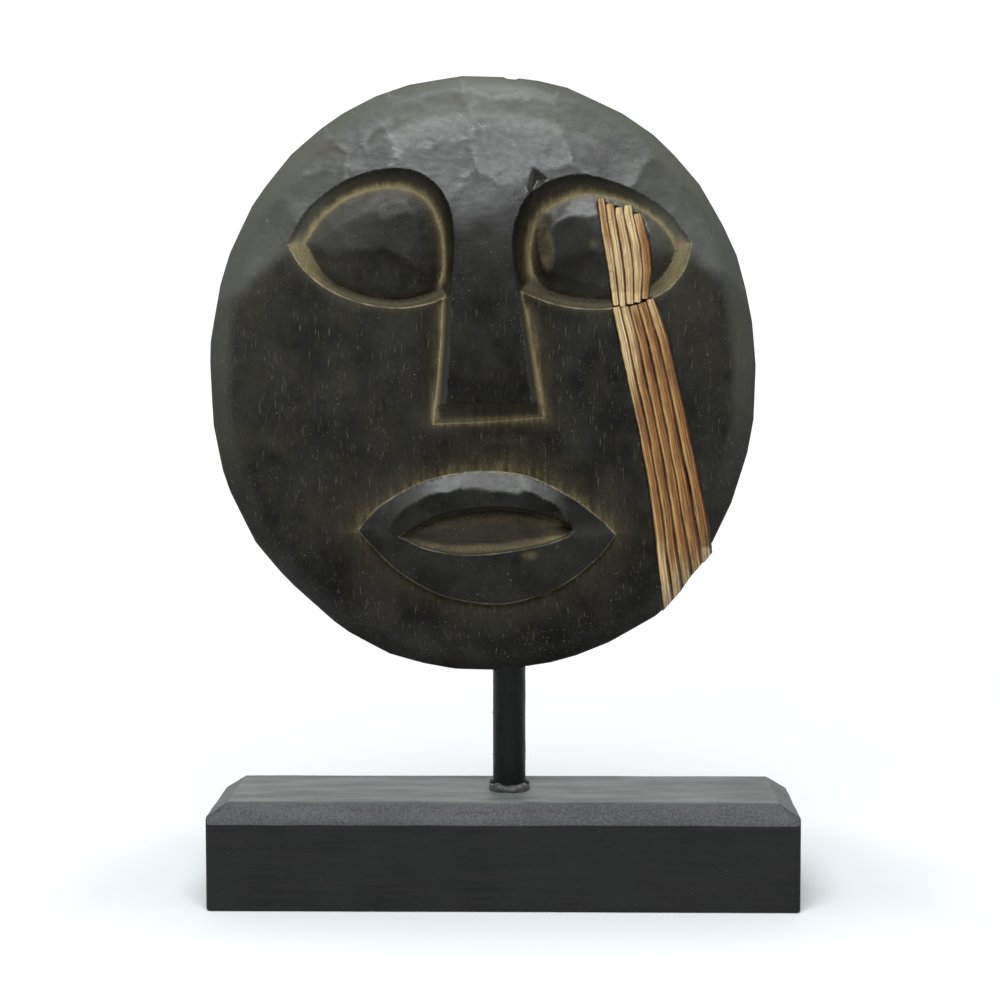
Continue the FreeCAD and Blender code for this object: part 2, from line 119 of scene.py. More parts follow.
def evenly(line, step):
    """The same line with its points a fixed step apart."""
    length = np.concatenate([[0], np.cumsum(np.linalg.norm(np.diff(line, axis=0), axis=1))])
    count = max(2, int(round(length[-1] / step)) + 1)
    at = np.linspace(0, length[-1], count)
    return np.stack([np.interp(at, length, line[:, k]) for k in range(line.shape[1])], axis=1)


def loop_of(*strokes):
    """Strokes joined end to end into one closed outline, without repeated points."""
    points = np.vstack(strokes)
    apart = np.linalg.norm(points - np.roll(points, -1, axis=0), axis=1)
    return points[apart > 1e-6]


def closed_line(loop):
    """A closed outline with its first point repeated at its end."""
    return np.vstack([loop, loop[:1]])


def nearest_corner(points, line):
    """Number of the line's corner that is nearest to each point."""
    tree = KDTree(len(line))
    for number, (x, y) in enumerate(line):
        tree.insert((x, y, 0.0), number)
    tree.balance()
    find = tree.find
    return np.array([find((x, y, 0.0))[1] for x, y in points.tolist()], dtype=int)


def distance_to(points, line, closed=False, reach=60.0):
    """Distance from each point to a line; anything further off than reach stays at reach."""
    result = np.full(len(points), float(reach))
    low = line.min(axis=0) - reach
    high = line.max(axis=0) + reach
    near = np.where(((points > low) & (points < high)).all(axis=1))[0]
    if len(near) == 0:
        return result
    place = points[near]
    corner = nearest_corner(place, line)
    best = np.full(len(near), float(reach) ** 2)
    last = len(line) - 1
    for side in (-1, 1):
        other = corner + side
        other = other % len(line) if closed else np.clip(other, 0, last)
        along = line[other] - line[corner]
        length = np.maximum((along ** 2).sum(axis=1), 1e-12)
        offset = place - line[corner]
        t = np.clip((offset * along).sum(axis=1) / length, 0, 1)
        gap = offset - t[:, None] * along
        np.minimum(best, (gap ** 2).sum(axis=1), out=best)
    result[near] = np.sqrt(best)
    return result


def is_inside(points, loop):
    """Which points lie inside a closed outline."""
    x, y = points[:, 0], points[:, 1]
    inside = np.zeros(len(points), bool)
    for (x0, y0), (x1, y1) in zip(loop, np.roll(loop, -1, axis=0)):
        if y0 == y1:
            continue
        crosses = (y0 > y) != (y1 > y)
        inside ^= crosses & (x < (x1 - x0) * (y - y0) / (y1 - y0) + x0)
    return inside


def hash_noise(i, j, seed):
    """A repeatable random number from 0 to 1 for each whole-number place."""
    value = np.sin(i * 127.1 + j * 311.7 + seed * 74.7) * 43758.5453
    return value - np.floor(value)


def value_noise(x, y, seed):
    """Smooth noise from -1 to 1 with features about one unit across."""
    i, j = np.floor(x), np.floor(y)
    fx, fy = x - i, y - j
    fx = fx * fx * (3 - 2 * fx)
    fy = fy * fy * (3 - 2 * fy)
    low = hash_noise(i, j, seed) * (1 - fx) + hash_noise(i + 1, j, seed) * fx
    high = hash_noise(i, j + 1, seed) * (1 - fx) + hash_noise(i + 1, j + 1, seed) * fx
    return 2 * (low * (1 - fy) + high * fy) - 1


def rough(x, y, seed, octaves=3):
    """Layered noise: each layer is half the size and half the strength of the one before."""
    total = np.zeros_like(x, dtype=float)
    for layer in range(octaves):
        turn = 0.6 * layer
        a = (x * math.cos(turn) - y * math.sin(turn)) * 2 ** layer
        b = (x * math.sin(turn) + y * math.cos(turn)) * 2 ** layer
        total += value_noise(a, b, seed + 11 * layer) / 2 ** layer
    return total


def soft_min(first, second, blend):
    """The lower of two surfaces, with the crease between them rounded."""
    return -blend * np.logaddexp(-first / blend, -second / blend)


def soft_max(first, second, blend):
    return blend * np.logaddexp(first / blend, second / blend)


def ease(value, start, end):
    """0 before start, 1 after end and smooth between."""
    t = np.clip((value - start) / (end - start), 0, 1)
    return t * t * (3 - 2 * t)


def knife_cuts(x, y, spacing, radius, seed, stretch=1.0, tilt=0.05, blend=0.02):
    """Surface left by many shallow hollow cuts that overlap, and 0-1 along the ridges between them.
    Spacing is their size in millimetres."""
    gx, gy = x / spacing, y / (spacing * stretch)
    i, j = np.floor(gx), np.floor(gy)
    lowest = np.full_like(x, 1e3)
    deepest = np.full_like(x, 1e3)
    second = np.full_like(x, 1e3)
    for di in range(-2, 3):
        for dj in range(-2, 3):
            ci, cj = i + di, j + dj
            cx = ci + 0.15 + 0.7 * hash_noise(ci, cj, seed)
            cy = cj + 0.15 + 0.7 * hash_noise(ci, cj, seed + 1)
            dx, dy = (gx - cx) * spacing, (gy - cy) * spacing * stretch
            lean_x = (hash_noise(ci, cj, seed + 2) - 0.5) * 2 * tilt
            lean_y = (hash_noise(ci, cj, seed + 3) - 0.5) * 2 * tilt
            start = hash_noise(ci, cj, seed + 4) * spacing ** 2 / (10 * radius)
            cut = start + lean_x * dx + lean_y * dy + (dx ** 2 + dy ** 2) / (2 * radius)
            lowest = soft_min(lowest, cut, blend)
            second = np.minimum(second, np.maximum(cut, deepest))
            deepest = np.minimum(deepest, cut)
    return lowest, np.exp(-(second - deepest) / 0.14)


# ================================================================ outlines on the carved face

# Millimetres across and up from the middle of the disc. Each list is one stroke of the carver's knife.
RIM_FULLNESS = 2.1
RIM_EASE = 1.08
RIM_THICKNESS = 19.5
RIM_ROUNDING = 0.45
CHEEK_CROWN, CHEEK_RADIUS = 33.0, 1100.0
BROW_CROWN, BROW_RADIUS, BROW_MIDDLE = 42.0, 415.0, 10.0

LEFT_CREST = [(-94.3, 63.3), (-87.5, 76.2), (-77.3, 86.6), (-62.9, 95.1), (-46.1, 99.2), (-31.8, 97.7),
              (-21.3, 90.5), (-15.3, 79.1), (-13.5, 65.0), (-14.0, 50.0), (-14.6, 38.3)]
LEFT_LID = [(-19.3, 37.4), (-25.3, 34.9), (-39.7, 32.6), (-56.5, 34.6), (-73.3, 41.0), (-86.3, 51.2),
            (-94.3, 63.3)]
LEFT_BALL_TOP = [(-85.5, 63.8), (-76.5, 77.0), (-61.3, 87.0), (-42.0, 90.3), (-27.7, 84.5),
                 (-20.9, 70.2), (-19.5, 53.5), (-22.5, 40.9)]
LEFT_BALL_LOW = [(-22.5, 40.9), (-39.9, 36.8), (-59.6, 39.6), (-75.0, 47.8), (-85.5, 63.8)]

RIGHT_CREST = [(100.2, 63.6), (89.5, 77.8), (75.1, 87.6), (60.8, 93.3), (46.5, 96.1), (32.3, 93.2),
               (22.6, 87.0), (16.8, 77.0), (14.3, 64.9), (14.9, 50.7), (16.0, 40.6)]
RIGHT_LID = [(18.9, 40.0), (32.3, 34.9), (46.7, 32.2), (62.5, 32.4), (80.2, 37.0), (89.5, 42.0),
             (96.9, 51.6), (100.2, 63.6)]
RIGHT_BALL_TOP = [(92.2, 59.6), (89.3, 67.1), (82.6, 74.7), (73.0, 80.9), (61.0, 85.2), (48.6, 86.7),
                  (35.7, 82.5), (27.0, 74.6), (23.0, 62.5), (24.4, 49.5), (30.5, 41.6)]
RIGHT_BALL_LOW = [(30.5, 41.6), (41.9, 38.2), (61.1, 36.8), (73.6, 39.4), (82.7, 44.8), (88.9, 51.8),
                  (92.2, 59.6)]

NOSE_LEFT_EDGE = [(-14.6, 38.3), (-15.5, 15.0), (-17.3, -12.9)]
NOSE_RIGHT_EDGE = [(16.0, 40.6), (19.9, 12.8), (23.2, -12.9)]
NOSE_LEFT_FOOT = [(-19.3, 37.4), (-20.1, 17.5), (-22.2, -6.5), (-24.1, -23.0)]
NOSE_RIGHT_FOOT = [(18.9, 40.0), (22.4, 22.2), (26.2, -1.7), (29.4, -19.8)]

MOUTH_MIDDLE = (1.5, -76.0)
LIPS_TOP = [(-60.8, -74.5), (-49.7, -62.5), (-30.3, -51.6), (-13.5, -47.2), (3.4, -46.0), (22.7, -48.8),
            (41.9, -58.3), (55.0, -68.0), (64.0, -76.6)]
LIPS_LOW = [(64.0, -76.6), (54.5, -88.5), (37.1, -101.8), (17.8, -108.9), (0.9, -110.3), (-20.9, -106.0),
            (-40.2, -95.3), (-53.5, -82.8), (-60.8, -74.5)]
SLOT_TOP = [(-41.0, -77.4), (-30.2, -70.7), (-20.6, -66.3), (-8.0, -63.8), (6.5, -62.6), (20.5, -63.8),
            (32.3, -67.2), (41.5, -71.0)]
SLOT_RIGHT = [(41.5, -71.0), (43.2, -74.2), (41.0, -77.4)]
SLOT_LOW = [(41.0, -77.4), (28.9, -81.6), (8.2, -85.3), (-10.1, -86.3), (-27.5, -83.4), (-41.0, -77.4)]

# The two stretches of channel that the canes lie in.
EYE_CHANNEL = [(54.9, 84.2), (76.2, 76.9), (80.2, 62.0), (81.0, 50.0), (79.6, 39.6), (62.0, 34.6)]
CHEEK_CHANNEL = [(61.6, 32.2), (81.4, 37.8), (89.0, 17.4), (95.8, -11.4), (103.0, -45.0), (108.8, -74.1),
                 (112.5, -88.0), (128.0, -118.0), (90.5, -124.0), (87.2, -112.0), (81.2, -64.3),
                 (75.4, -30.6), (69.0, 0.6)]
KNIFE_SLIP = [(23.8, 99.6), (31.0, 94.0), (26.0, 88.0), (22.4, 79.5), (21.6, 88.0)]

left_crest = smooth_line(LEFT_CREST)
left_lid = smooth_line(LEFT_LID)
left_ball = loop_of(smooth_line(LEFT_BALL_TOP), smooth_line(LEFT_BALL_LOW))
right_crest = smooth_line(RIGHT_CREST)
right_lid = smooth_line(RIGHT_LID)
right_ball = loop_of(smooth_line(RIGHT_BALL_TOP), smooth_line(RIGHT_BALL_LOW))
right_eye = loop_of(right_crest, right_lid)
nose_left_edge = smooth_line(NOSE_LEFT_EDGE)
nose_right_edge = smooth_line(NOSE_RIGHT_EDGE)
nose_left_foot = smooth_line(NOSE_LEFT_FOOT)
nose_right_foot = smooth_line(NOSE_RIGHT_FOOT)
nose_tip = evenly(np.array([NOSE_LEFT_EDGE[-1], NOSE_RIGHT_EDGE[-1]]), LINE_STEP)
nose_base = smooth_line([NOSE_LEFT_FOOT[-1], (2.0, -22.0), NOSE_RIGHT_FOOT[-1]])
nose_edge = np.vstack([nose_left_edge, nose_tip, nose_right_edge[::-1]])
nose_foot = np.vstack([nose_left_foot, nose_base, nose_right_foot[::-1]])
nose_loop = loop_of(nose_foot, np.array([[14.0, 55.0], [-12.0, 55.0]]))
brow_loop = loop_of(
    np.array([[-150.0, 62.0]]), left_crest, nose_edge, right_crest[::-1],
    np.array([[150.0, 62.0], [150.0, 160.0], [-150.0, 160.0]]),
)
lips_loop = loop_of(smooth_line(LIPS_TOP), smooth_line(LIPS_LOW))
slot_loop = loop_of(smooth_line(SLOT_TOP), smooth_line(SLOT_RIGHT), smooth_line(SLOT_LOW))
eye_channel = evenly(closed_line(EYE_CHANNEL), LINE_STEP)[:-1]
cheek_channel = evenly(closed_line(CHEEK_CHANNEL), LINE_STEP)[:-1]
slip_loop = evenly(closed_line(KNIFE_SLIP), LINE_STEP)[:-1]


def rim_lean(up):
    """The disc is not quite even: its lower part is hewn a little to the right."""
    return 4.4 * np.exp(-((up + 112.0) / 22.0) ** 2) - 0.8


def hewn_rim(flats=46, step=0.9):
    """The disc's outline: straight knife flats of uneven length round a full oval."""
    draw = np.random.default_rng(5)
    turns = 2 * np.pi * (np.arange(flats) + draw.uniform(-0.33, 0.33, flats)) / flats
    share = 1 + draw.uniform(-0.0022, 0.0022, flats)
    power = 2 / RIM_FULLNESS
    across = HALF_WIDTH * np.sign(np.cos(turns)) * np.abs(np.cos(turns)) ** power * share
    up = HALF_HEIGHT * np.sign(np.sin(turns)) * np.abs(np.sin(turns)) ** power * share
    corners = np.stack([across + rim_lean(up), up], axis=1)
    outline = evenly(closed_line(corners), step)[:-1]
    notch = np.exp(-((outline[:, 0] - 13.5) / 3.0) ** 6) * (outline[:, 1] > 0)
    outline[:, 1] -= 0.9 * notch
    return outline


# ================================================================ the carved face as a relief

# Marks on the face: the middle across and up, then the half width and half height, in millimetres.
PIT = (40.2, -74.0, 3.4, 4.2)
CHIP = (22.5, -85.5, 4.5, 3.0)
SCOOP = (9.0, -27.0, 17.0, 5.5)
BRIDGE = (1.0, 72.0, 16.0, 24.0)
BELOW_LIPS = (0.0, -113.0, 22.0, 4.0)
# The same with a strength, for rubbed ochre patches and for darker patches low on the eyeballs.
SCUFFS = (
    (-76, 108, 11, 5, 0.30), (-13, 133, 5, 3, 0.22), (53, 63, 2.2, 3.0, 0.5), (-5, 122, 4, 3, 0.12),
    (86, 104, 14, 5, 0.16),
)
EYEBALL_DARK_PATCHES = ((46, 54, 13, 9, 0.6), (-40, 57, 8, 6, 0.4))

EYES = (
    {"crest": left_crest, "lid": left_lid, "ball": left_ball, "middle": (-52, 60), "seed": 21,
     "ochre": 1.0, "shine": 0.23},
    {"crest": right_crest, "lid": right_lid, "ball": right_ball, "middle": (58, 60), "seed": 31,
     "ochre": 0.95, "shine": 1.0},
)


def out_from(mark, x, y):
    """Distance from a mark's middle, where 1 is the mark's edge."""
    across, up, half_width, half_height = mark[:4]
    return np.hypot((x - across) / half_width, (y - up) / half_height)


def hollow(mark, x, y):
    """1 in the middle of a round-bottomed mark, and 0 from its edge outwards."""
    return np.clip(1 - out_from(mark, x, y) ** 2, 0, 1)


def cheek_dome(x, y):
    return CHEEK_CROWN - (x ** 2 + y ** 2) / (2 * CHEEK_RADIUS)


def rim_dome(x, y):
    """The dome that rounds the disc off towards its rim."""
    oval = ((x - rim_lean(y)) / (HALF_WIDTH * RIM_EASE)) ** 2 + (y / (HALF_HEIGHT * RIM_EASE)) ** 2
    return RIM_THICKNESS / math.sqrt(1 - 1 / RIM_EASE ** 2) * np.sqrt(np.clip(1 - oval, 0.01, 1))


def face_masks(points, x, y):
    """Which places are on the brow or the nose, and how far each belongs to the polished forehead."""
    to_foot = distance_to(points, nose_foot)
    side_share = ease(np.abs(x), 12, 30)
    above_eyes = y - 63 + 0.9 * np.maximum(np.abs(x) - 94, 0) + 3.0 * value_noise(x / 15, y / 15, 105)
    middle_up = y + 5.0 * value_noise(x / 9, y / 9, 106)
    return {
        "on_brow": is_inside(points, brow_loop),
        "in_nose": is_inside(points, nose_loop),
        "to_foot": to_foot,
        "wall_share": to_foot / (to_foot + distance_to(points, nose_edge) + 1e-6),
        "forehead": (1 - side_share) * ease(middle_up, 62, 98) + side_share * ease(above_eyes, -9, 7),
    }


def knife_dressing(x, y, forehead):
    """Large facets on the forehead and soft ones elsewhere. Gives their depth, the ridges between the
    large ones, and the soft ones alone."""
    sway_x = x + 4.0 * value_noise(x / 17, y / 17, 101) + 1.2 * value_noise(x / 5, y / 5, 102)
    sway_y = y + 4.0 * value_noise(x / 17, y / 17, 103) + 1.2 * value_noise(x / 5, y / 5, 104)
    big_cuts, cut_ridges = knife_cuts(
        sway_x, sway_y, spacing=27.0, radius=240.0, seed=3, stretch=0.8, tilt=0.12, blend=0.012
    )
    soft_cuts = knife_cuts(x, y, spacing=26.0, radius=330.0, seed=9, stretch=1.5, tilt=0.038)[0]
    nose_zone = ease(24 - np.abs(x - 2), 0, 6) * ease(y, -30, -16) * ease(62 - y, 0, 12)
    depth = forehead * (big_cuts - 0.5) * 0.9
    depth += (1 - forehead) * (soft_cuts - 0.25) * (1 - 0.6 * nose_zone)
    return depth, cut_ridges, soft_cuts


def eye_relief(points, surface, cheek, lift, dressing, eye):
    """Cut one socket into the surface, with its domed eyeball. Gives the surface and the masks."""
    x, y = points[:, 0], points[:, 1]
    middle, seed = eye["middle"], eye["seed"]
    socket = is_inside(points, loop_of(eye["crest"], eye["lid"]))
    eyeball = is_inside(points, eye["ball"])
    to_crest = distance_to(points, eye["crest"])
    to_lid = distance_to(points, eye["lid"])
    to_ball = distance_to(points, eye["ball"], closed=True)
    upper = to_lid ** 2 / (to_lid ** 2 + to_crest ** 2 + 1e-6)

    ring = socket & ~eyeball
    down = np.minimum(to_crest, to_lid) / (np.minimum(to_crest, to_lid) + to_ball + 1e-6)
    edge = cheek + upper * lift + dressing
    groove = 27.7 - 2.9 * upper + 0.25 * rough(x / 6, y / 6, seed)
    bend = 1.75 + 3.2 * (1 - ease(upper, 0.2, 0.7))
    wall = edge + (groove - edge) * (1 - (1 - down) ** bend)
    surface = np.where(ring, wall, surface)

    dome = 30.9 - 2.2 * ((x - middle[0]) / 34) ** 2 - 2.0 * ((y - middle[1]) / 27) ** 2
    dome = dome + knife_cuts(x, y, spacing=17.0, radius=75.0, seed=seed, stretch=0.9, tilt=0.05)[0] - 0.4
    turn = np.arctan2(y - middle[1], x - middle[0])
    facet = value_noise(turn * 2.6 + 8, turn * 0, seed + 7)
    slope = 0.60 - 0.08 * ease(upper, 0.25, 0.8) + 0.08 * np.sign(facet) * np.abs(facet) ** 0.5
    rise = groove + 0.15 + slope * to_ball
    surface = np.where(eyeball, soft_min(rise, dome, 0.08), surface)
    return surface, {
        "ring": ring, "eyeball": eyeball, "down": np.where(ring, down, 0), "upper": upper,
        "to_ball": to_ball, "to_lid": to_lid, "ochre": eye["ochre"], "shine": eye["shine"],
    }


def mouth_relief(points, surface, cheek):
    """Cut the mouth: a facetted mound of lips with a slot in it. Gives the surface and the masks."""
    x, y = points[:, 0], points[:, 1]
    in_lips = is_inside(points, lips_loop)
    to_lips = distance_to(points, lips_loop, closed=True)
    above_mouth = ease(y - MOUTH_MIDDLE[1], -6, 6)
    facet = value_noise(x / 13 + 4, x * 0, 42)
    steep = above_mouth * ease(-x, -43, -35)
    slope = 0.13 + 0.36 * steep + 0.14 * np.sign(facet) * np.abs(facet) ** 0.4 * steep
    mound = 33.7 - 3.6 * ((x - MOUTH_MIDDLE[0]) / 62) ** 2
    mound += 0.17 * np.maximum(y + 66.0 + 0.010 * (x - MOUTH_MIDDLE[0]) ** 2, 0)
    mound -= np.where(y > -75, 0.0, 2.2 * np.maximum(-(y + 80.0) / 30.0, 0) ** 2)
    mound += knife_cuts(x, y, spacing=16.0, radius=60.0, seed=45, stretch=0.7, tilt=0.05)[0] - 0.4
    lip_wall = cheek + 2.6 - 2.1 * above_mouth + slope * to_lips
    lips = soft_min(lip_wall, mound, 0.08)
    lip_band = in_lips * steep * ease(mound - lip_wall, -0.2, 0.3) * (0.35 + 0.65 * ease(x, -46, -22))
    surface = np.where(in_lips, lips, surface - 0.35 * np.exp(-(to_lips / 2.0) ** 2))

    in_slot = is_inside(points, slot_loop)
    to_slot = distance_to(points, slot_loop, closed=True)
    lower_side = ease(-(y + 75.2), -4, 3)
    slot_floor = 28.9 + 0.5 * lower_side + 0.12 * rough(x / 9, y / 1.5, 47)
    slot_wall = surface - (3.4 - 2.2 * lower_side) * to_slot
    surface = np.where(in_slot, soft_max(slot_floor, slot_wall, 0.4), surface)
    surface -= 1.6 * hollow(PIT, x, y) * (1 + 0.6 * rough(x / 1.2, y / 1.2, 48))
    surface -= 1.5 * hollow(CHIP, x, y) * (1 + 0.4 * rough(x / 1.2, y / 1.2, 49))
    return surface, {
        "in_lips": in_lips, "to_lips": to_lips, "lip_band": lip_band,
        "in_slot": in_slot, "to_slot": to_slot, "lower_side": lower_side,
    }


def cut_channels(points, surface):
    """Cut the two beds that the canes lie in, with torn edges. Gives the surface and the beds' mask."""
    x, y = points[:, 0], points[:, 1]
    in_channel = is_inside(points, cheek_channel) | is_inside(points, eye_channel)
    to_channel = np.minimum(
        distance_to(points, cheek_channel, closed=True), distance_to(points, eye_channel, closed=True)
    )
    surface = surface - np.where(in_channel, np.minimum(3.0, 4.0 * to_channel), 0)
    torn = np.exp(-(to_channel / 1.2) ** 2) * ~in_channel
    return surface + torn * 0.25 * rough(x / 1.1, y / 1.6, 51), in_channel


def face_relief(points):
    """Thickness of the disc at each place, and the layers that its finish reads."""
    x, y = points[:, 0], points[:, 1]
    at = face_masks(points, x, y)
    forehead = at["forehead"]
    cheek = cheek_dome(x, y)
    brow = BROW_CROWN - (x ** 2 + (y - BROW_MIDDLE) ** 2) / (2 * BROW_RADIUS)
    lift = soft_max(brow - cheek, np.zeros_like(x), 0.15)
    lift *= 1 - ease(np.abs(x), 82, 96) * (1 - ease(y, 62, 76))
    share = np.where(at["on_brow"], 1.0, np.where(at["in_nose"], at["wall_share"] ** 1.15, 0.0))
    dressing, at["cut_ridges"], soft_cuts = knife_dressing(x, y, forehead)
    surface = cheek + share * lift + dressing

    at["eyes"] = []
    for eye in EYES:
        surface, masks = eye_relief(points, surface, cheek, lift, dressing, eye)
        at["eyes"].append(masks)
    surface, masks = mouth_relief(points, surface, cheek)
    at.update(masks)

    # the slip of the knife over the right eye, and the scoop under the nose
    at["in_slip"] = is_inside(points, slip_loop)
    surface -= np.where(at["in_slip"], 0.9 * distance_to(points, slip_loop, closed=True), 0)
    surface -= 0.8 * hollow(SCOOP, x, y)

    # the rounded rim
    rim = rim_dome(x, y) + 0.4 * soft_cuts
    at["rim_band"] = ease(surface - rim, -3.0, 1.0)
    surface = soft_min(surface, rim, RIM_ROUNDING)
    surface, at["in_channel"] = cut_channels(points, surface)

    # tool chatter and raised grain
    surface += 0.05 * rough(x / 7, y / 7, 61)
    surface += 0.022 * rough(x / 0.9, y / 7, 62) * (1 - forehead)
    surface += 0.035 * rough(x / 4.5, y / 1.3, 64) * forehead
    surface += 0.05 * np.exp(-out_from(BRIDGE, x, y) ** 2) * value_noise(x / 9, y / 1.3, 63)
    return surface, face_layers(x, y, at)


# ================================================================ the layers of the face's finish

def strengthen(layers, name, value):
    """Keep the stronger of a layer and a new value at each place."""
    layers[name] = np.maximum(layers[name], value)


def stain_and_shade_eye(layers, x, y, eye, patchy, streaky):
    """Ochre in the socket and along the lids, pale lid edges, and painted shade on the socket's upper wall
    under the brow.
    """
    upper, down, ring = eye["upper"], eye["down"], eye["ring"]
    corner = np.maximum(np.exp(-((x + 90) / 13) ** 2), np.exp(-((x - 95) / 14) ** 2))
    high_wall = 0.24 * ease(down, 0.02, 0.4) + 0.62 * ease(down + 0.16 * (streaky - 0.5), 0.42, 0.98)
    high_wall = np.maximum(high_wall, 0.75 * corner * np.exp(-((y - 62) / 7) ** 2))
    low_wall = (0.46 + 0.30 * corner) * (1 - 0.25 * ease(down, 0.1, 0.9) * (1 - corner))
    top_share = ease(upper, 0.25, 0.75)
    band = (high_wall * top_share + low_wall * (1 - top_share)) * ring
    on_ball = np.exp(-eye["to_ball"] / 2.6) * (0.26 + 0.5 * upper) * eye["eyeball"]
    below_lid = np.exp(-(eye["to_lid"] / 2.5) ** 2) * ~eye["eyeball"] * ~ring
    strengthen(layers, "patina", eye["ochre"] * band)
    strengthen(layers, "patina", on_ball * eye["ochre"])
    strengthen(layers, "patina", 0.35 * below_lid)
    strengthen(layers, "pale", np.exp(-(eye["to_lid"] / 0.42) ** 2) * (0.35 + 0.5 * patchy))
    # painted shade on the socket's upper wall, under the brow
    strengthen(layers, "shade_and_dark_marks", 0.6 * ring * ease(upper, 0.4, 0.8) * ease(-down, -0.45, -0.05))


def stain_nose(layers, x, y, at, patchy, streaky):
    """Ochre on the nose's walls, at its foot and below it, and pale lines along the foot."""
    to_foot, in_nose, on_brow = at["to_foot"], at["in_nose"], at["on_brow"]
    below_eyes = ease(-y, -42, -30)
    foot_fade = np.exp(-to_foot / (3.4 + 1.6 * (x > 0))) * (~in_nose & ~on_brow) * below_eyes
    strengthen(layers, "patina", foot_fade * (0.52 + 0.42 * streaky) * ease(y, -34, -20))
    nose_wall = in_nose & ~on_brow
    wall_low = (1 - at["wall_share"]) * nose_wall
    strengthen(layers, "patina", np.where(y > -14, 0.8 * ease(wall_low, 0.2, 0.92), 0) * nose_wall)
    underside = nose_wall & (y < -13.2)
    strengthen(layers, "patina", underside * (0.22 + 0.38 * ease(wall_low, 0.5, 0.9) + 0.12 * streaky))
    below_nose = np.exp(-((x - 3) / 27) ** 6) * np.exp(-np.maximum(-22 - y, 0) / 4.5) * (y < -21)
    strengthen(layers, "patina", below_nose * (0.18 + 0.4 * streaky))
    left_foot = np.exp(-(to_foot / 0.38) ** 2) * (x < 0) * (y > -22)
    strengthen(layers, "pale", left_foot * (0.45 + 0.4 * patchy) * below_eyes)
    strengthen(layers, "pale", np.exp(-(to_foot / 0.35) ** 2) * 0.55 * (y < -17))


def stain_and_light_mouth(layers, x, y, at, patchy, streaky):
    """Ochre round the lips and in the slot, brighter on the slot's lower wall as painted light, a pale
    line along the lips' edge, and a painted highlight along the slot's lower edge.
    """
    to_lips, to_slot, outside = at["to_lips"], at["to_slot"], ~at["in_lips"]
    halo_reach = 6.2 + 5.5 * np.exp(-((x - 12) / 26) ** 2) * (y > -60) + 3.0 * ease(np.abs(x), 48, 62)
    halo = np.exp(-(to_lips / halo_reach) ** 1.2) * outside
    halo_strength = np.where(y > -76, 0.66, 0.46) * (0.56 + 0.52 * streaky)
    strengthen(layers, "patina", halo * np.clip(halo_strength, 0, 1))
    strengthen(layers, "patina", 0.5 * np.exp(-out_from(BELOW_LIPS, x, y) ** 2) * streaky * outside)
    strengthen(layers, "pale", np.exp(-(to_lips / 0.5) ** 2) * (0.35 + 0.35 * patchy))

    slot_high = np.interp(x, *np.array(SLOT_TOP).T)
    slot_low = np.interp(x, *np.array(SLOT_LOW)[::-1].T)
    fall = np.clip((slot_high - y) / np.maximum(slot_high - slot_low, 1.0), 0, 1)
    # the slot's ochre, raised on its lower wall, which faces up, as painted light
    slot_ochre_and_light = 0.20 + 0.20 * np.exp(-((fall - 0.30) / 0.13) ** 2) + 0.3 * ease(fall, 0.74, 0.86)
    slot_ochre_and_light += 0.22 * np.exp(-((x - 35) / 7) ** 2) + 0.08 * rough(x / 9, y / 1.2, 73)
    layers["patina"] = np.where(at["in_slot"], slot_ochre_and_light * ease(to_slot, 0.1, 1.4), layers["patina"])
    # painted highlight along the slot's lower edge
    slot_edge_highlight = np.exp(-(to_slot / 0.5) ** 2) * (at["lower_side"] > 0.5) * (np.abs(x) < 44)
    strengthen(layers, "pale", 0.55 * slot_edge_highlight * (0.5 + 0.5 * patchy))
    strengthen(layers, "patina", 0.45 * np.exp(-out_from(CHIP, x, y) ** 4))


def stain_and_shade_marks(layers, x, y, at, patchy):
    """Rubbed patches, the knot in the right eyeball with its dark outline, the thin film on the cheeks,
    painted shade in the pit and in the knife slip, darker patches low on the eyeballs and darkened cane
    beds.
    """
    for scuff in SCUFFS:
        patch = np.exp(-out_from(scuff, x, y) ** 3)
        strengthen(layers, "patina", scuff[-1] * patch * (0.5 + 0.7 * patchy))
    knot = np.hypot((x - 30.4 - 0.12 * (62 - y)) / 4.4, (y - 62) / 13) + 0.10 * rough(x / 2.5, y / 2.5, 75)
    strengthen(layers, "patina", 0.52 * ease(-knot, -1.0, -0.8) * (0.55 + 0.45 * patchy))
    film = ease(value_noise(x / 11, y / 15, 76) + 0.8 * rough(x / 2.6, y / 5, 77), -0.5, 0.9)
    film *= (0.4 + 0.6 * ease(y, -115, -70)) * np.where(at["in_nose"] | at["on_brow"], 0.35, 1.0)
    strengthen(layers, "patina", 0.11 * film * (1 - at["forehead"]) * ~at["in_lips"])

    # painted shade in the pit at the slot's right end
    strengthen(layers, "shade_and_dark_marks", 0.5 * hollow(PIT, x, y))
    # the knot's own dark outline
    strengthen(layers, "shade_and_dark_marks", 0.6 * np.exp(-((knot - 1.12) / 0.13) ** 2))
    on_eyeball = at["eyes"][0]["eyeball"] | at["eyes"][1]["eyeball"]
    # darker patches low on the eyeballs
    for dark_patch in EYEBALL_DARK_PATCHES:
        strengthen(layers, "shade_and_dark_marks", dark_patch[-1] * np.exp(-out_from(dark_patch, x, y) ** 4) * on_eyeball)
    # painted shade in the knife slip over the right eye
    strengthen(layers, "shade_and_dark_marks", 0.22 * at["in_slip"])
    # the cane beds darkened where they show between the canes
    strengthen(layers, "shade_and_dark_marks", 1.0 * at["in_channel"])


def polish_layer(at):
    """Where the wood is waxed: the forehead, the eyeballs' tops and the upper lip."""
    polish = at["forehead"] * (1 - 0.9 * at["rim_band"])
    for eye in at["eyes"]:
        polish = np.where(eye["eyeball"], 0.12 + eye["shine"] * ease(eye["upper"], 0.6, 0.95), polish)
        polish = np.where(eye["ring"], 0.0, polish)
    return np.maximum(polish, at["in_lips"] * 0.8 * at["lip_band"]) * ~at["in_slot"]


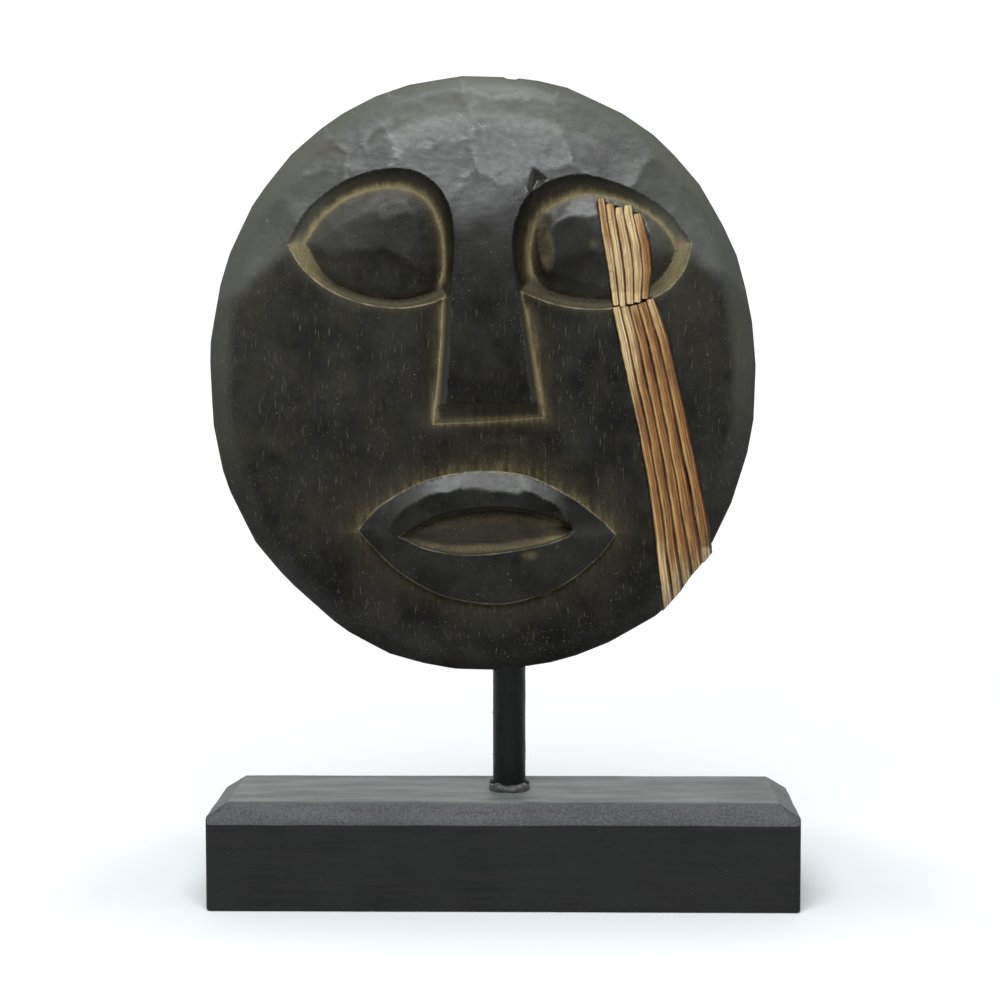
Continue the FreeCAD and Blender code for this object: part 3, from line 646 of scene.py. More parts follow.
def painted_sheen_layer(x, y, at):
    """Painted grey sheen: along the rounded rim, lighter towards the top, on the brow's sides, a painted
    highlight along the forehead's top, on the nose's walls and the upper lip, and a faint grey on the
    cheeks.
    """
    forehead = at["forehead"]
    top_glow = 0.5 + 0.5 * np.exp(-(x / 45) ** 2)
    nose_wall = at["in_nose"] & ~at["on_brow"]
    cheeks = ease(np.abs(x - 3), 26, 40) * (1 - forehead) * ease(y, -75, -30)
    # painted light along the rounded rim, lighter towards the top
    worn = at["rim_band"] * (0.02 + 0.42 * ease(y, -90, 10) + 0.38 * ease(y, 30, 110))
    # painted sheen on the forehead's sides, a painted highlight along its top, painted sheen on the nose's
    # walls and the upper lip's facets, and a faint grey on the cheeks
    for rubbed in (
        (0.06 + 0.54 * ease(np.abs(x), 46, 104)) * forehead,
        top_glow * forehead * ease(y + 0.22 * np.abs(x), 116, 132),
        0.34 * nose_wall * ease(at["wall_share"], 0.1, 0.8) * (y > -13),
        at["in_lips"] * 0.20 * at["lip_band"],
        0.06 * cheeks * ~at["in_lips"],
    ):
        worn = np.maximum(worn, rubbed)
    return worn


def face_layers(x, y, at):
    """Ochre patina, pale worn edges, painted shade with a few dark marks, open grain, polish and painted
    grey sheen, each from 0 to 1.
    """
    patchy = 0.5 + 0.5 * rough(x / 5, y / 5, 71)
    streaky = 0.5 + 0.5 * rough(x / 1.3, y / 9, 72)
    frayed = 0.5 + 0.5 * rough(x / 4.0, y / 0.9, 74)
    layers = {name: np.zeros_like(x) for name in ("patina", "pale", "shade_and_dark_marks")}
    for eye in at["eyes"]:
        stain_and_shade_eye(layers, x, y, eye, patchy, streaky)
    stain_nose(layers, x, y, at, patchy, streaky)
    stain_and_light_mouth(layers, x, y, at, patchy, streaky)
    stain_and_shade_marks(layers, x, y, at, patchy)
    open_grain = ease(-y, -75, -30) * (1 - at["forehead"]) * ~at["in_slot"]
    open_grain *= np.where(at["in_lips"], 0.2, 1.0) * np.where(at["on_brow"] | at["in_nose"], 0.5, 1.0)
    feather = at["cut_ridges"] * at["forehead"] * at["on_brow"]
    feather = feather * ease(patchy + 0.5 * frayed, 0.45, 1.25) * ease(110 - np.abs(x), 0, 60)
    return {
        "patina": np.clip(layers["patina"], 0, 1), "pale": np.clip(layers["pale"], 0, 1),
        "shade_and_dark_marks": layers["shade_and_dark_marks"], "open_grain": open_grain, "polish": polish_layer(at),
        "rim": painted_sheen_layer(x, y, at), "feather": feather,
    }


# ================================================================ blocks with a relief on one side

def scatter(outline, lines, coarse, fine, reach, seed=1):
    """Points that fill an outline, closer together near the lines and clear of both."""
    draw = np.random.default_rng(seed)
    low, high = outline.min(axis=0), outline.max(axis=0)
    chosen = []
    for step, near_lines in ((coarse, False), (fine, True)):
        xs = np.arange(low[0], high[0], step)
        ys = np.arange(low[1], high[1], step * 0.866)
        grid_x, grid_y = np.meshgrid(xs, ys)
        grid_x = grid_x + (np.arange(len(ys)) % 2)[:, None] * step / 2
        grid = np.stack([grid_x.ravel(), grid_y.ravel()], axis=1)
        grid = grid + draw.uniform(-0.12, 0.12, grid.shape) * step
        grid = grid[is_inside(grid, outline)]
        to_line = np.full(len(grid), 50.0)
        if lines:
            every = np.vstack(lines)
            to_line = np.linalg.norm(grid - every[nearest_corner(grid, every)], axis=1)
        to_rim = distance_to(grid, outline, closed=True, reach=reach + 2)
        if near_lines:
            keep = (to_line <= reach) & (to_line > 0.45 * step)
        else:
            keep = to_line > reach
        chosen.append(grid[keep & (to_rim > 0.5 * step)])
    return np.vstack(chosen)


def triangulate(outline, lines, inner):
    """Triangles over an outline that keep to the lines inside it, and the outline's own corner numbers."""
    places = [outline]
    edges = [(i, (i + 1) % len(outline)) for i in range(len(outline))]
    count = len(outline)
    for line in lines:
        places.append(line)
        edges += [(count + i, count + i + 1) for i in range(len(line) - 1)]
        count += len(line)
    places.append(inner)
    flat = [Vector(place) for place in np.vstack(places)]
    result = delaunay_2d_cdt(flat, edges, [list(range(len(outline)))], 1, 1e-4)
    points = np.array([tuple(place) for place in result[0]])
    faces = np.array(result[2])
    came_from = {}
    for new, originals in enumerate(result[3]):
        for original in originals:
            came_from[original] = new
    ring = np.array([came_from[i] for i in range(len(outline))])
    return points, faces, ring


def upward(points, faces):
    """The same triangles, all wound anticlockwise."""
    a, b, c = (points[faces[:, k]] for k in range(3))
    ab, ac = b - a, c - a
    area = ab[:, 0] * ac[:, 1] - ab[:, 1] * ac[:, 0]
    faces[area < 0] = faces[area < 0][:, ::-1]
    return faces


def relief_block(outline, lines, front, back, side_rings, coarse, fine, reach, back_lines=(), spill=1.0):
    """A closed block. front(points) and back(points) give heights and layers. Each side ring is
    (share of the way from front to back, inset in millimetres). coarse and fine are the spacings of the
    points away from the lines and within reach of them. spill is the share of the front's layers that
    carries on down the sides."""
    inner = scatter(outline, lines, coarse, fine, reach)
    top_points, top_faces, ring = triangulate(outline, lines, inner)
    top_faces = upward(top_points, top_faces)
    top_height, layers = front(top_points)

    outward = outline - outline.mean(axis=0)
    outward /= np.linalg.norm(outward, axis=1)[:, None]
    base_outline = outline - outward * side_rings[-1][1]
    base_inner = scatter(base_outline, list(back_lines), coarse * 3, coarse, 1.0, seed=2)
    base_points, base_faces, base_ring = triangulate(base_outline, list(back_lines), base_inner)
    base_faces = upward(base_points, base_faces)[:, ::-1]
    base_height, base_layers = back(base_points)

    places = [np.column_stack([top_points, top_height])]
    tables = {name: [values] for name, values in layers.items()}
    faces = [top_faces]
    size = len(outline)
    edge_height = top_height[ring]
    foot_height = base_height[base_ring]
    start = len(top_points)
    previous = ring
    for share, inset in side_rings[:-1]:
        here = outline - outward * inset
        height = edge_height + (foot_height - edge_height) * share
        places.append(np.column_stack([here, height]))
        for name in tables:
            tables[name].append(layers[name][ring] * spill)
        current = np.arange(start, start + size)
        faces.append(quads(previous, current))
        previous = current
        start += size
    places.append(np.column_stack([base_points, base_height]))
    for name in tables:
        tables[name].append(base_layers[name])
    faces.append(quads(previous, base_ring + start))
    faces.append(base_faces + start)
    return np.vstack(places), np.vstack(faces), {name: np.concatenate(v) for name, v in tables.items()}


def quads(first, second):
    """Two triangles between each pair of neighbours on two rings, facing away from the block."""
    a, b = first, np.roll(first, -1)
    c, d = second, np.roll(second, -1)
    return np.vstack([np.stack([a, c, b], axis=1), np.stack([b, c, d], axis=1)])


def make_mesh(name, places, faces, layers=None):
    """A smooth-shaded mesh object with one float attribute for each layer."""
    mesh = bpy.data.meshes.new(name)
    used = np.unique(faces)
    renumber = np.full(len(places), -1)
    renumber[used] = np.arange(len(used))
    mesh.from_pydata(places[used].tolist(), [], renumber[faces].tolist())
    mesh.polygons.foreach_set("use_smooth", np.ones(len(mesh.polygons), bool))
    for layer, values in (layers or {}).items():
        attribute = mesh.attributes.new(layer, "FLOAT", "POINT")
        attribute.data.foreach_set("value", values[used].astype(np.float32))
    mesh.update()
    piece = bpy.data.objects.new(name, mesh)
    bpy.context.scene.collection.objects.link(piece)
    return piece


def finish_piece(piece, node, material):
    """Give a piece its material and hand it to the frame."""
    piece.data.materials.clear()
    piece.data.materials.append(material)
    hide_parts(node)
    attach(piece, ROOT)
    return piece


def make_disc(material):
    """The carved face with its hewn rim and its plain sawn back."""
    lines = [
        left_crest, left_lid, closed_line(left_ball), right_crest, right_lid, closed_line(right_ball),
        nose_edge, nose_foot, closed_line(lips_loop), closed_line(slot_loop),
    ]

    def sawn_back(points):
        x, y = points[:, 0], points[:, 1]
        swing = np.sin(x * 0.9 + 0.5 * value_noise(x / 20, y / 30, 81))
        marks = 0.10 * swing * value_noise(x / 25, y / 9, 82)
        height = 0.25 + marks + 0.1 * rough(x / 30, y / 30, 83)
        layers = {name: np.zeros_like(x) for name in ("pale", "shade_and_dark_marks", "polish", "rim", "feather")}
        layers.update({"patina": np.full_like(x, 0.05), "open_grain": np.full_like(x, 0.6)})
        return height, layers

    side_rings = [(0.03, 0.0), (0.2, 0.1), (0.4, 0.3), (0.6, 0.6), (0.8, 1.0), (0.93, 1.6), (1.0, 2.6)]
    places, faces, layers = relief_block(
        hewn_rim(), lines, face_relief, sawn_back, side_rings, coarse=1.25, fine=0.62, reach=3.2
    )
    piece = make_mesh("carved_face", on_disc(*places.T), faces, layers)
    return finish_piece(piece, "carved_mask", material)


# ================================================================ geometry trees

class Tree:
    """A node tree with short ways to add nodes, set their inputs and join them."""

    def __init__(self, tree):
        self.tree = tree

    def put(self, kind, inputs=None, **settings):
        made = self.tree.nodes.new(kind)
        for name, value in settings.items():
            setattr(made, name, value)
        for key, value in (inputs or {}).items():
            socket = made.inputs[key]
            if isinstance(value, bpy.types.NodeSocket):
                self.join(value, socket)
            else:
                socket.default_value = value
        return made

    def maths(self, operation, first, second=0.5, third=0.5):
        inputs = {0: first, 1: second, 2: third}
        return self.put("ShaderNodeMath", inputs, operation=operation).outputs[0]

    def plus(self, first, second):
        return self.maths("ADD", first, second)

    def minus(self, first, second):
        return self.maths("SUBTRACT", first, second)

    def times(self, first, second):
        return self.maths("MULTIPLY", first, second)

    def vector(self, operation, first, second=(0, 0, 0)):
        return self.put("ShaderNodeVectorMath", {0: first, 1: second}, operation=operation).outputs[0]

    def scaled(self, vector, size):
        return self.put("ShaderNodeVectorMath", {0: vector, 3: size}, operation="SCALE").outputs[0]

    def noise(self, vector, size, detail=3.0, rough=0.5, bend=0.0):
        """Noise from 0 to 1 whose features are 1/size of the vector's unit."""
        inputs = {
            "Vector": vector, "Scale": size, "Detail": detail, "Roughness": rough, "Distortion": bend,
        }
        return self.put("ShaderNodeTexNoise", inputs).outputs[0]

    def spread(self, value, start, end, low=0.0, high=1.0):
        """Smoothly carries value from the range start-end to low-high."""
        inputs = {0: value, 1: start, 2: end, 3: low, 4: high}
        return self.put("ShaderNodeMapRange", inputs, interpolation_type="SMOOTHSTEP").outputs[0]

    def blend(self, share, first, second):
        """Two colours mixed."""
        return self.put("ShaderNodeMix", {0: share, 6: first, 7: second}, data_type="RGBA").outputs[2]

    def join(self, value, socket):
        self.tree.links.new(value, socket)

    def group(self, group, inputs):
        """Places a node group and gives its outputs."""
        return self.put("ShaderNodeGroup", inputs, node_tree=group).outputs

    def layer(self, name):
        """A value carried by the mesh's points."""
        return self.put("ShaderNodeAttribute", attribute_name=name).outputs["Fac"]


SOCKETS = {"geometry": "NodeSocketGeometry", "number": "NodeSocketFloat", "count": "NodeSocketInt",
           "vector": "NodeSocketVector", "material": "NodeSocketMaterial", "colour": "NodeSocketColor"}


def new_group(name, kind, inputs, outputs):
    """A node group with named inputs and outputs. Gives its tree, the input node and the output node."""
    group = bpy.data.node_groups.new(name, kind)
    for label, (sort, value) in inputs.items():
        socket = group.interface.new_socket(label, in_out="INPUT", socket_type=SOCKETS[sort])
        if value is not None:
            socket.default_value = value
    for label, sort in outputs.items():
        group.interface.new_socket(label, in_out="OUTPUT", socket_type=SOCKETS[sort])
    tree = Tree(group)
    return tree, tree.put("NodeGroupInput").outputs, tree.put("NodeGroupOutput").inputs


def rod_tree():
    """A flattened rod with fibre ridges along a path whose points carry rod_radius."""
    tree, given, result = new_group("fibrous_rod", "GeometryNodeTree", {
        "Path": ("geometry", None), "Sides": ("count", 18), "Flatness": ("number", 0.75),
        "Ridge Depth": ("number", 0.0002), "Ridge Size": ("number", 4.0), "Lump Depth": ("number", 0.0),
        "Lump Size": ("number", 0.004), "Surface": ("material", None),
    }, {"Rod": "geometry"})
    path = tree.put("GeometryNodeMeshToCurve", {"Mesh": given["Path"]}).outputs[0]
    path = tree.put(
        "GeometryNodeSetCurveNormal", {"Curve": path, "Normal": (0.0, -1.0, 0.0)}, mode="FREE"
    ).outputs[0]
    along = tree.put("GeometryNodeSplineParameter").outputs["Length"]
    path = tree.put(
        "GeometryNodeStoreNamedAttribute", {"Geometry": path, "Name": "along", "Value": along},
        data_type="FLOAT", domain="POINT",
    ).outputs[0]
    ring = tree.put("GeometryNodeCurvePrimitiveCircle", {"Resolution": given["Sides"], "Radius": 1.0})
    squash = tree.put("ShaderNodeCombineXYZ", {0: given["Flatness"], 1: 1.0, 2: 1.0}).outputs[0]
    turned = tree.put("GeometryNodeTransform", {
        "Geometry": ring.outputs[0], "Scale": squash,
    }).outputs[0]
    around = tree.put("GeometryNodeSplineParameter").outputs["Factor"]
    turned = tree.put(
        "GeometryNodeStoreNamedAttribute", {"Geometry": turned, "Name": "around", "Value": around},
        data_type="FLOAT", domain="POINT",
    ).outputs[0]
    radius = tree.put("GeometryNodeInputNamedAttribute", {"Name": "rod_radius"}, data_type="FLOAT")
    rod = tree.put("GeometryNodeCurveToMesh", {
        "Curve": path, "Profile Curve": turned, "Scale": radius.outputs[0], "Fill Caps": True,
    }).outputs[0]
    rod = tree.put("GeometryNodeMergeByDistance", {"Geometry": rod, "Distance": 1e-7}).outputs[0]
    place = tree.put("GeometryNodeInputPosition").outputs[0]
    facing = tree.put("GeometryNodeInputNormal").outputs[0]
    long_way = tree.vector("MULTIPLY", place, (1.0, 1.0, 0.09))
    ridges = tree.noise(long_way, tree.times(given["Ridge Size"], 300.0), 2.0, 0.55)
    ridges = tree.times(tree.minus(ridges, 0.5), given["Ridge Depth"])
    lumps = tree.noise(place, tree.maths("DIVIDE", 1.0, given["Lump Size"]), 3.0, 0.55)
    lumps = tree.times(tree.minus(lumps, 0.5), given["Lump Depth"])
    push = tree.scaled(facing, tree.plus(ridges, lumps))
    rod = tree.put("GeometryNodeSetPosition", {"Geometry": rod, "Offset": push}).outputs[0]
    rod = tree.put("GeometryNodeSetShadeSmooth", {"Geometry": rod}).outputs[0]
    rod = tree.put("GeometryNodeRealizeInstances", {"Geometry": rod}).outputs[0]
    rod = tree.put("GeometryNodeSetMaterial", {"Geometry": rod, "Material": given["Surface"]}).outputs[0]
    tree.join(rod, result["Rod"])
    return tree.tree


def specks_tree():
    """Small lumps of paint and grit scattered over a surface and joined to it."""
    tree, given, result = new_group("paint_specks", "GeometryNodeTree", {
        "Piece": ("geometry", None), "Per Square Metre": ("number", 9000.0),
        "Smallest": ("number", 0.0001), "Largest": ("number", 0.0004), "Seed": ("count", 1),
        "Surface": ("material", None),
    }, {"Piece": "geometry"})
    points = tree.put("GeometryNodeDistributePointsOnFaces", {
        "Mesh": given["Piece"], "Density": given["Per Square Metre"], "Seed": given["Seed"],
    })
    speck = tree.put("GeometryNodeMeshIcoSphere", {"Radius": 1.0, "Subdivisions": 1}).outputs[0]
    size = tree.put("FunctionNodeRandomValue", data_type="FLOAT")
    tree.join(given["Smallest"], size.inputs[2])
    tree.join(given["Largest"], size.inputs[3])
    tree.join(given["Seed"], size.inputs["Seed"])
    specks = tree.put("GeometryNodeInstanceOnPoints", {
        "Points": points.outputs[0], "Instance": speck, "Scale": size.outputs[1],
    }).outputs[0]
    joined = tree.put("GeometryNodeJoinGeometry")
    tree.join(specks, joined.inputs[0])
    tree.join(given["Piece"], joined.inputs[0])
    whole = tree.put("GeometryNodeRealizeInstances", {"Geometry": joined.outputs[0]}).outputs[0]
    whole = tree.put("GeometryNodeSetShadeSmooth", {"Geometry": whole}).outputs[0]
    painted = {"Geometry": whole, "Material": given["Surface"]}
    whole = tree.put("GeometryNodeSetMaterial", painted).outputs[0]
    tree.join(whole, result["Piece"])
    return tree.tree


def grown(piece, tree, values):
    """The piece after the tree has worked on it, as a plain mesh under the same name."""
    modifier = piece.modifiers.new(tree.name, "NODES")
    modifier.node_group = tree
    for item in tree.interface.items_tree:
        if item.in_out == "INPUT" and item.name in values:
            modifier[item.identifier] = values[item.name]
    bpy.context.view_layer.update()
    evaluated = piece.evaluated_get(bpy.context.evaluated_depsgraph_get())
    mesh = bpy.data.meshes.new_from_object(evaluated)
    name = piece.name
    bpy.data.objects.remove(piece)
    mesh.name = name
    plain = bpy.data.objects.new(name, mesh)
    bpy.context.scene.collection.objects.link(plain)
    return plain


# ================================================================ canes, glue, post, plinth and screw

CANES_IN_ROW = 5
# A strip's edges from its top down, and the shares of its width where one cane ends and the next starts.
# Each stain lists (share of the cane's length from its top, how brown it is there).
CHEEK_STRIP = {
    "name": "cheek_cane", "first_lot": 0, "first_seed": 300, "tip_taper": 0.0, "proud": 0.45,
    "lump_depth": 0.0006, "lump_size": 0.009,
    "left": [(60.6, 39.0), (69.0, 0.6), (75.4, -30.6), (81.2, -64.3), (87.2, -112.0), (88.8, -124.0)],
    "right": [(81.0, 41.0), (89.0, 17.4), (95.8, -11.4), (103.0, -45.0), (108.8, -74.1), (117.5, -124.0)],
    "shares": (0.0, 0.185, 0.375, 0.565, 0.785, 1.0),
    "tops": (32.9, 33.0, 33.6, 34.8, 36.7),
    "stains": (
        [(0, 0.1), (0.2, 0.2), (0.33, 0.8), (0.72, 0.85), (0.84, 0.2), (1, 0.0)],
        [(0, 0.2), (0.15, 0.35), (0.3, 0.95), (0.8, 0.9), (0.9, 0.3), (1, 0.1)],
        [(0, 0.4), (0.06, 0.9), (0.5, 1.0), (0.82, 0.95), (0.92, 0.4), (1, 0.15)],
        [(0, 0.7), (0.1, 1.0), (0.84, 0.95), (0.95, 0.4), (1, 0.2)],
        [(0, 0.35), (0.15, 0.55), (0.4, 0.95), (0.93, 0.9), (0.95, 0.05), (1, 0.0)],
    ),
}
EYE_STRIP = {
    "name": "eye_cane", "first_lot": 5, "first_seed": 390, "tip_taper": 0.14, "proud": 0.5,
    "lump_depth": 0.0008, "lump_size": 0.007,
    "left": [(54.9, 84.2), (58.5, 60.3), (62.6, 34.0)],
    "right": [(76.4, 77.0), (80.2, 62.5), (81.2, 50.8), (79.6, 34.0)],
    "shares": (0.0, 0.17, 0.36, 0.57, 0.79, 1.0),
    "tops": (84.8, 82.2, 80.6, 81.4, 77.4),
    "stains": (
        [(0, 0.6), (0.35, 0.6), (0.55, 0.1), (1, 0.1)], [(0, 0.6), (0.25, 0.3), (1, 0.1)],
        [(0, 0.1), (0.3, 0.3), (0.6, 0.0), (1, 0.2)], [(0, 0.0), (0.5, 0.2), (1, 0.1)],
        [(0, 0.3), (0.3, 0.75), (1, 0.6)],
    ),
}
EYE_FEET = (33.0, 33.1, 33.7, 34.9, 36.8)
PAST_RIM = (0.1, 0.5, 0.0, 0.4, 1.3)
CANE_FLATNESS = 0.5
CANE_STEP = 0.7
SPARE_LENGTH = 4.5


def across_at(line, up):
    """How far across a line is at a given height."""
    line = np.array(line)[::-1]
    return np.interp(up, line[:, 1], line[:, 0])


def path_piece(name, points, edges, values):
    """A mesh of points and edges that carries values, for a rod to be grown along."""
    mesh = bpy.data.meshes.new(name)
    mesh.from_pydata(points.tolist(), edges, [])
    for label, value in values.items():
        mesh.attributes.new(label, "FLOAT", "POINT").data.foreach_set("value", value.astype(np.float32))
    piece = bpy.data.objects.new(name, mesh)
    bpy.context.scene.collection.objects.link(piece)
    return piece


def split_cane(strip, number, foot, tree, material):
    """One split cane of a strip, from its top down to its foot."""
    ups = np.arange(strip["tops"][number], foot, -CANE_STEP)
    low_share, high_share = strip["shares"][number:number + 2]
    seed = strip["first_seed"] + 17 * number
    wander = 0.015 * rough(ups / 24, ups * 0 + number * 3.7, seed, 2)
    start = across_at(strip["left"], ups)
    end = across_at(strip["right"], ups)
    middle = start + (end - start) * ((low_share + high_share) / 2 + wander)
    lean = abs((middle[-1] - middle[0]) / (ups[-1] - ups[0]))
    width = (end - start) * (high_share - low_share) / math.hypot(1, lean)
    half = width / 2 * (1.07 + 0.09 * rough(ups / 13, ups * 0 + number, seed + 3, 2))
    steps = np.arange(len(ups))
    half *= np.where(np.minimum(steps, steps[::-1]) == 0, 0.9, 1.0)
    half *= 1 - strip["tip_taper"] * np.exp(-steps * CANE_STEP)
    level = np.convolve(np.pad(ground_for_canes(middle, ups), 4, mode="edge"), np.ones(9) / 9, "valid")
    level = level + strip["proud"] + 0.12 * rough(ups / 20, ups * 0 + number, seed + 5, 2)
    path = path_piece(
        f"{strip['name']}_{number + 1}_rod", on_disc(middle, ups, level - half * CANE_FLATNESS),
        [(i, i + 1) for i in range(len(ups) - 1)],
        {
            "rod_radius": half * MM,
            "stain": np.interp(np.linspace(0, 1, len(ups)), *np.array(strip["stains"][number]).T),
            "lot": np.full(len(ups), strip["first_lot"] + number),
        },
    )
    return grown(path, tree, {
        "Sides": 22, "Flatness": CANE_FLATNESS, "Ridge Depth": 0.0009, "Ridge Size": 5.0,
        "Lump Depth": strip["lump_depth"], "Lump Size": strip["lump_size"], "Surface": material,
    })


def ground_for_canes(x, y):
    """Level of the wood that the canes lie against, before their channel is cut."""
    level = soft_min(cheek_dome(x, y), rim_dome(x, y), RIM_ROUNDING)
    dome = 30.6 - 2.2 * ((x - 58) / 34) ** 2 - 3.0 * ((y - 60) / 27) ** 2
    return np.where((y > 37.0) & is_inside(np.stack([x, y], axis=1), right_eye), dome, level)


def rim_foot(strip, number):
    """Height at which a cane reaches the disc's edge."""
    ups = np.arange(-60.0, -124.0, -0.25)
    share = (strip["shares"][number] + strip["shares"][number + 1]) / 2
    start, end = across_at(strip["left"], ups), across_at(strip["right"], ups)
    within = is_inside(np.stack([start + (end - start) * share, ups], axis=1), hewn_rim())
    return ups[np.where(within)[0][-1]]


def trim_to_rim(rod, past):
    """Saws the cane's lower end off along the disc's edge, a given distance past it."""
    start, end = np.array([87.6, -115.2]), np.array([113.6, -81.4])
    along = (end - start) / np.linalg.norm(end - start)
    outward = np.array([along[1], -along[0]])
    cane_way = np.array([0.14, -1.0]) / math.hypot(0.14, 1.0)
    places = np.empty(len(rod.data.vertices) * 3, np.float32)
    rod.data.vertices.foreach_get("co", places)
    places = places.reshape(-1, 3).astype(float)
    flat = np.stack([places[:, 0] / MM - DISC_ACROSS, places[:, 2] / MM - DISC_UP], axis=1)
    beyond = (flat - start) @ outward - past
    back = np.maximum(beyond, 0) * 0.97 / (cane_way @ outward)
    places[:, 0] -= back * cane_way[0] * MM
    places[:, 2] -= back * cane_way[1] * MM
    rod.data.vertices.foreach_set("co", places.astype(np.float32).ravel())
    rod.data.update()


def make_canes(tree, material):
    """Ten split canes: five down the cheek to the rim, five over the eyeball."""
    for number in range(CANES_IN_ROW):
        foot = rim_foot(CHEEK_STRIP, number) - SPARE_LENGTH
        rod = split_cane(CHEEK_STRIP, number, foot, tree, material)
        trim_to_rim(rod, PAST_RIM[number])
        finish_piece(rod, f"cheek_cane_{number + 1}", material)
    for number in range(CANES_IN_ROW):
        rod = split_cane(EYE_STRIP, number, EYE_FEET[number], tree, material)
        finish_piece(rod, f"eye_cane_{number + 1}", material)


def make_glue(tree, material):
    """Ring of dark glue where the post enters the plinth."""
    middle = (bead_low + bead_high) / 2
    post_radius = (post_high[0] - post_low[0]) / 2
    outer = (bead_high[0] - bead_low[0]) / 2
    width = outer - post_radius + 0.8
    turns = np.linspace(0, 2 * np.pi, 96, endpoint=False)
    radius = outer - width / 2 + 0.35 * np.sin(3 * turns + 1) * np.sin(turns)
    places = np.stack([
        middle[0] + radius * np.cos(turns), middle[1] + radius * np.sin(turns),
        np.full_like(turns, bead_low[2] + 0.9),
    ], axis=1) * MM
    half = width / 2 * (1 + 0.16 * np.sin(5 * turns) + 0.10 * np.sin(9 * turns + 2))
    edges = [(i, (i + 1) % len(turns)) for i in range(len(turns))]
    path = path_piece("glue_ring", places, edges, {"rod_radius": half * MM})
    ring = grown(path, tree, {
        "Sides": 20, "Flatness": 0.95, "Ridge Depth": 0.0, "Ridge Size": 1.0, "Lump Depth": 0.0011,
        "Lump Size": 0.0023, "Surface": material,
    })
    return finish_piece(ring, "foot_bead", material)


def turned_piece(name, profile, middle, sides, waver=None):
    """A closed lathe-turned piece. profile lists (radius, height) in millimetres, from the foot up."""
    profile = np.array(profile, float)
    turns = np.linspace(0, 2 * np.pi, sides, endpoint=False)
    heights = np.repeat(profile[:, 1], sides)
    round_turns = np.tile(turns, len(profile))
    radii = np.repeat(profile[:, 0], sides)
    if waver is not None:
        radii = radii + waver(round_turns, heights)
    places = np.stack([
        middle[0] + radii * np.cos(round_turns), middle[1] + radii * np.sin(round_turns), heights,
    ], axis=1)
    count = len(places)
    ends = np.array([
        [middle[0], middle[1], profile[0, 1]], [middle[0], middle[1], profile[-1, 1]],
    ])
    places = np.vstack([places, ends]) * MM
    faces = []
    for level in range(len(profile) - 1):
        low = np.arange(sides) + level * sides
        faces.append(quads(low + sides, low))
    first = np.arange(sides)
    after = np.roll(first, -1)
    top = first + (len(profile) - 1) * sides
    faces.append(np.stack([after, first, np.full(sides, count)], axis=1))
    faces.append(np.stack([top, np.roll(top, -1), np.full(sides, count + 1)], axis=1))
    return make_mesh(name, places, np.vstack(faces))


def make_post(tree, material):
    """The round post between plinth and disc, painted black with grit caught in the paint."""
    middle = (post_low + post_high) / 2
    radius = (post_high[0] - post_low[0]) / 2
    heights = np.arange(post_low[2] + 0.8, post_high[2] - 0.8, 1.0)
    profile = [(radius - 1.0, post_low[2])]
    profile += [(radius, height) for height in heights]
    profile += [(radius - 1.0, post_high[2])]

    def waver(turns, levels):
        return 0.09 * rough(np.cos(turns) * 2.1 + 5, levels / 9 + np.sin(turns) * 2.1, 91)

    post = turned_piece("round_post", profile, middle, 72, waver)
    post = grown(post, tree, {
        "Per Square Metre": 60000.0, "Smallest": 0.00008, "Largest": 0.00033, "Seed": 4,
        "Surface": material,
    })
    return finish_piece(post, "post", material)


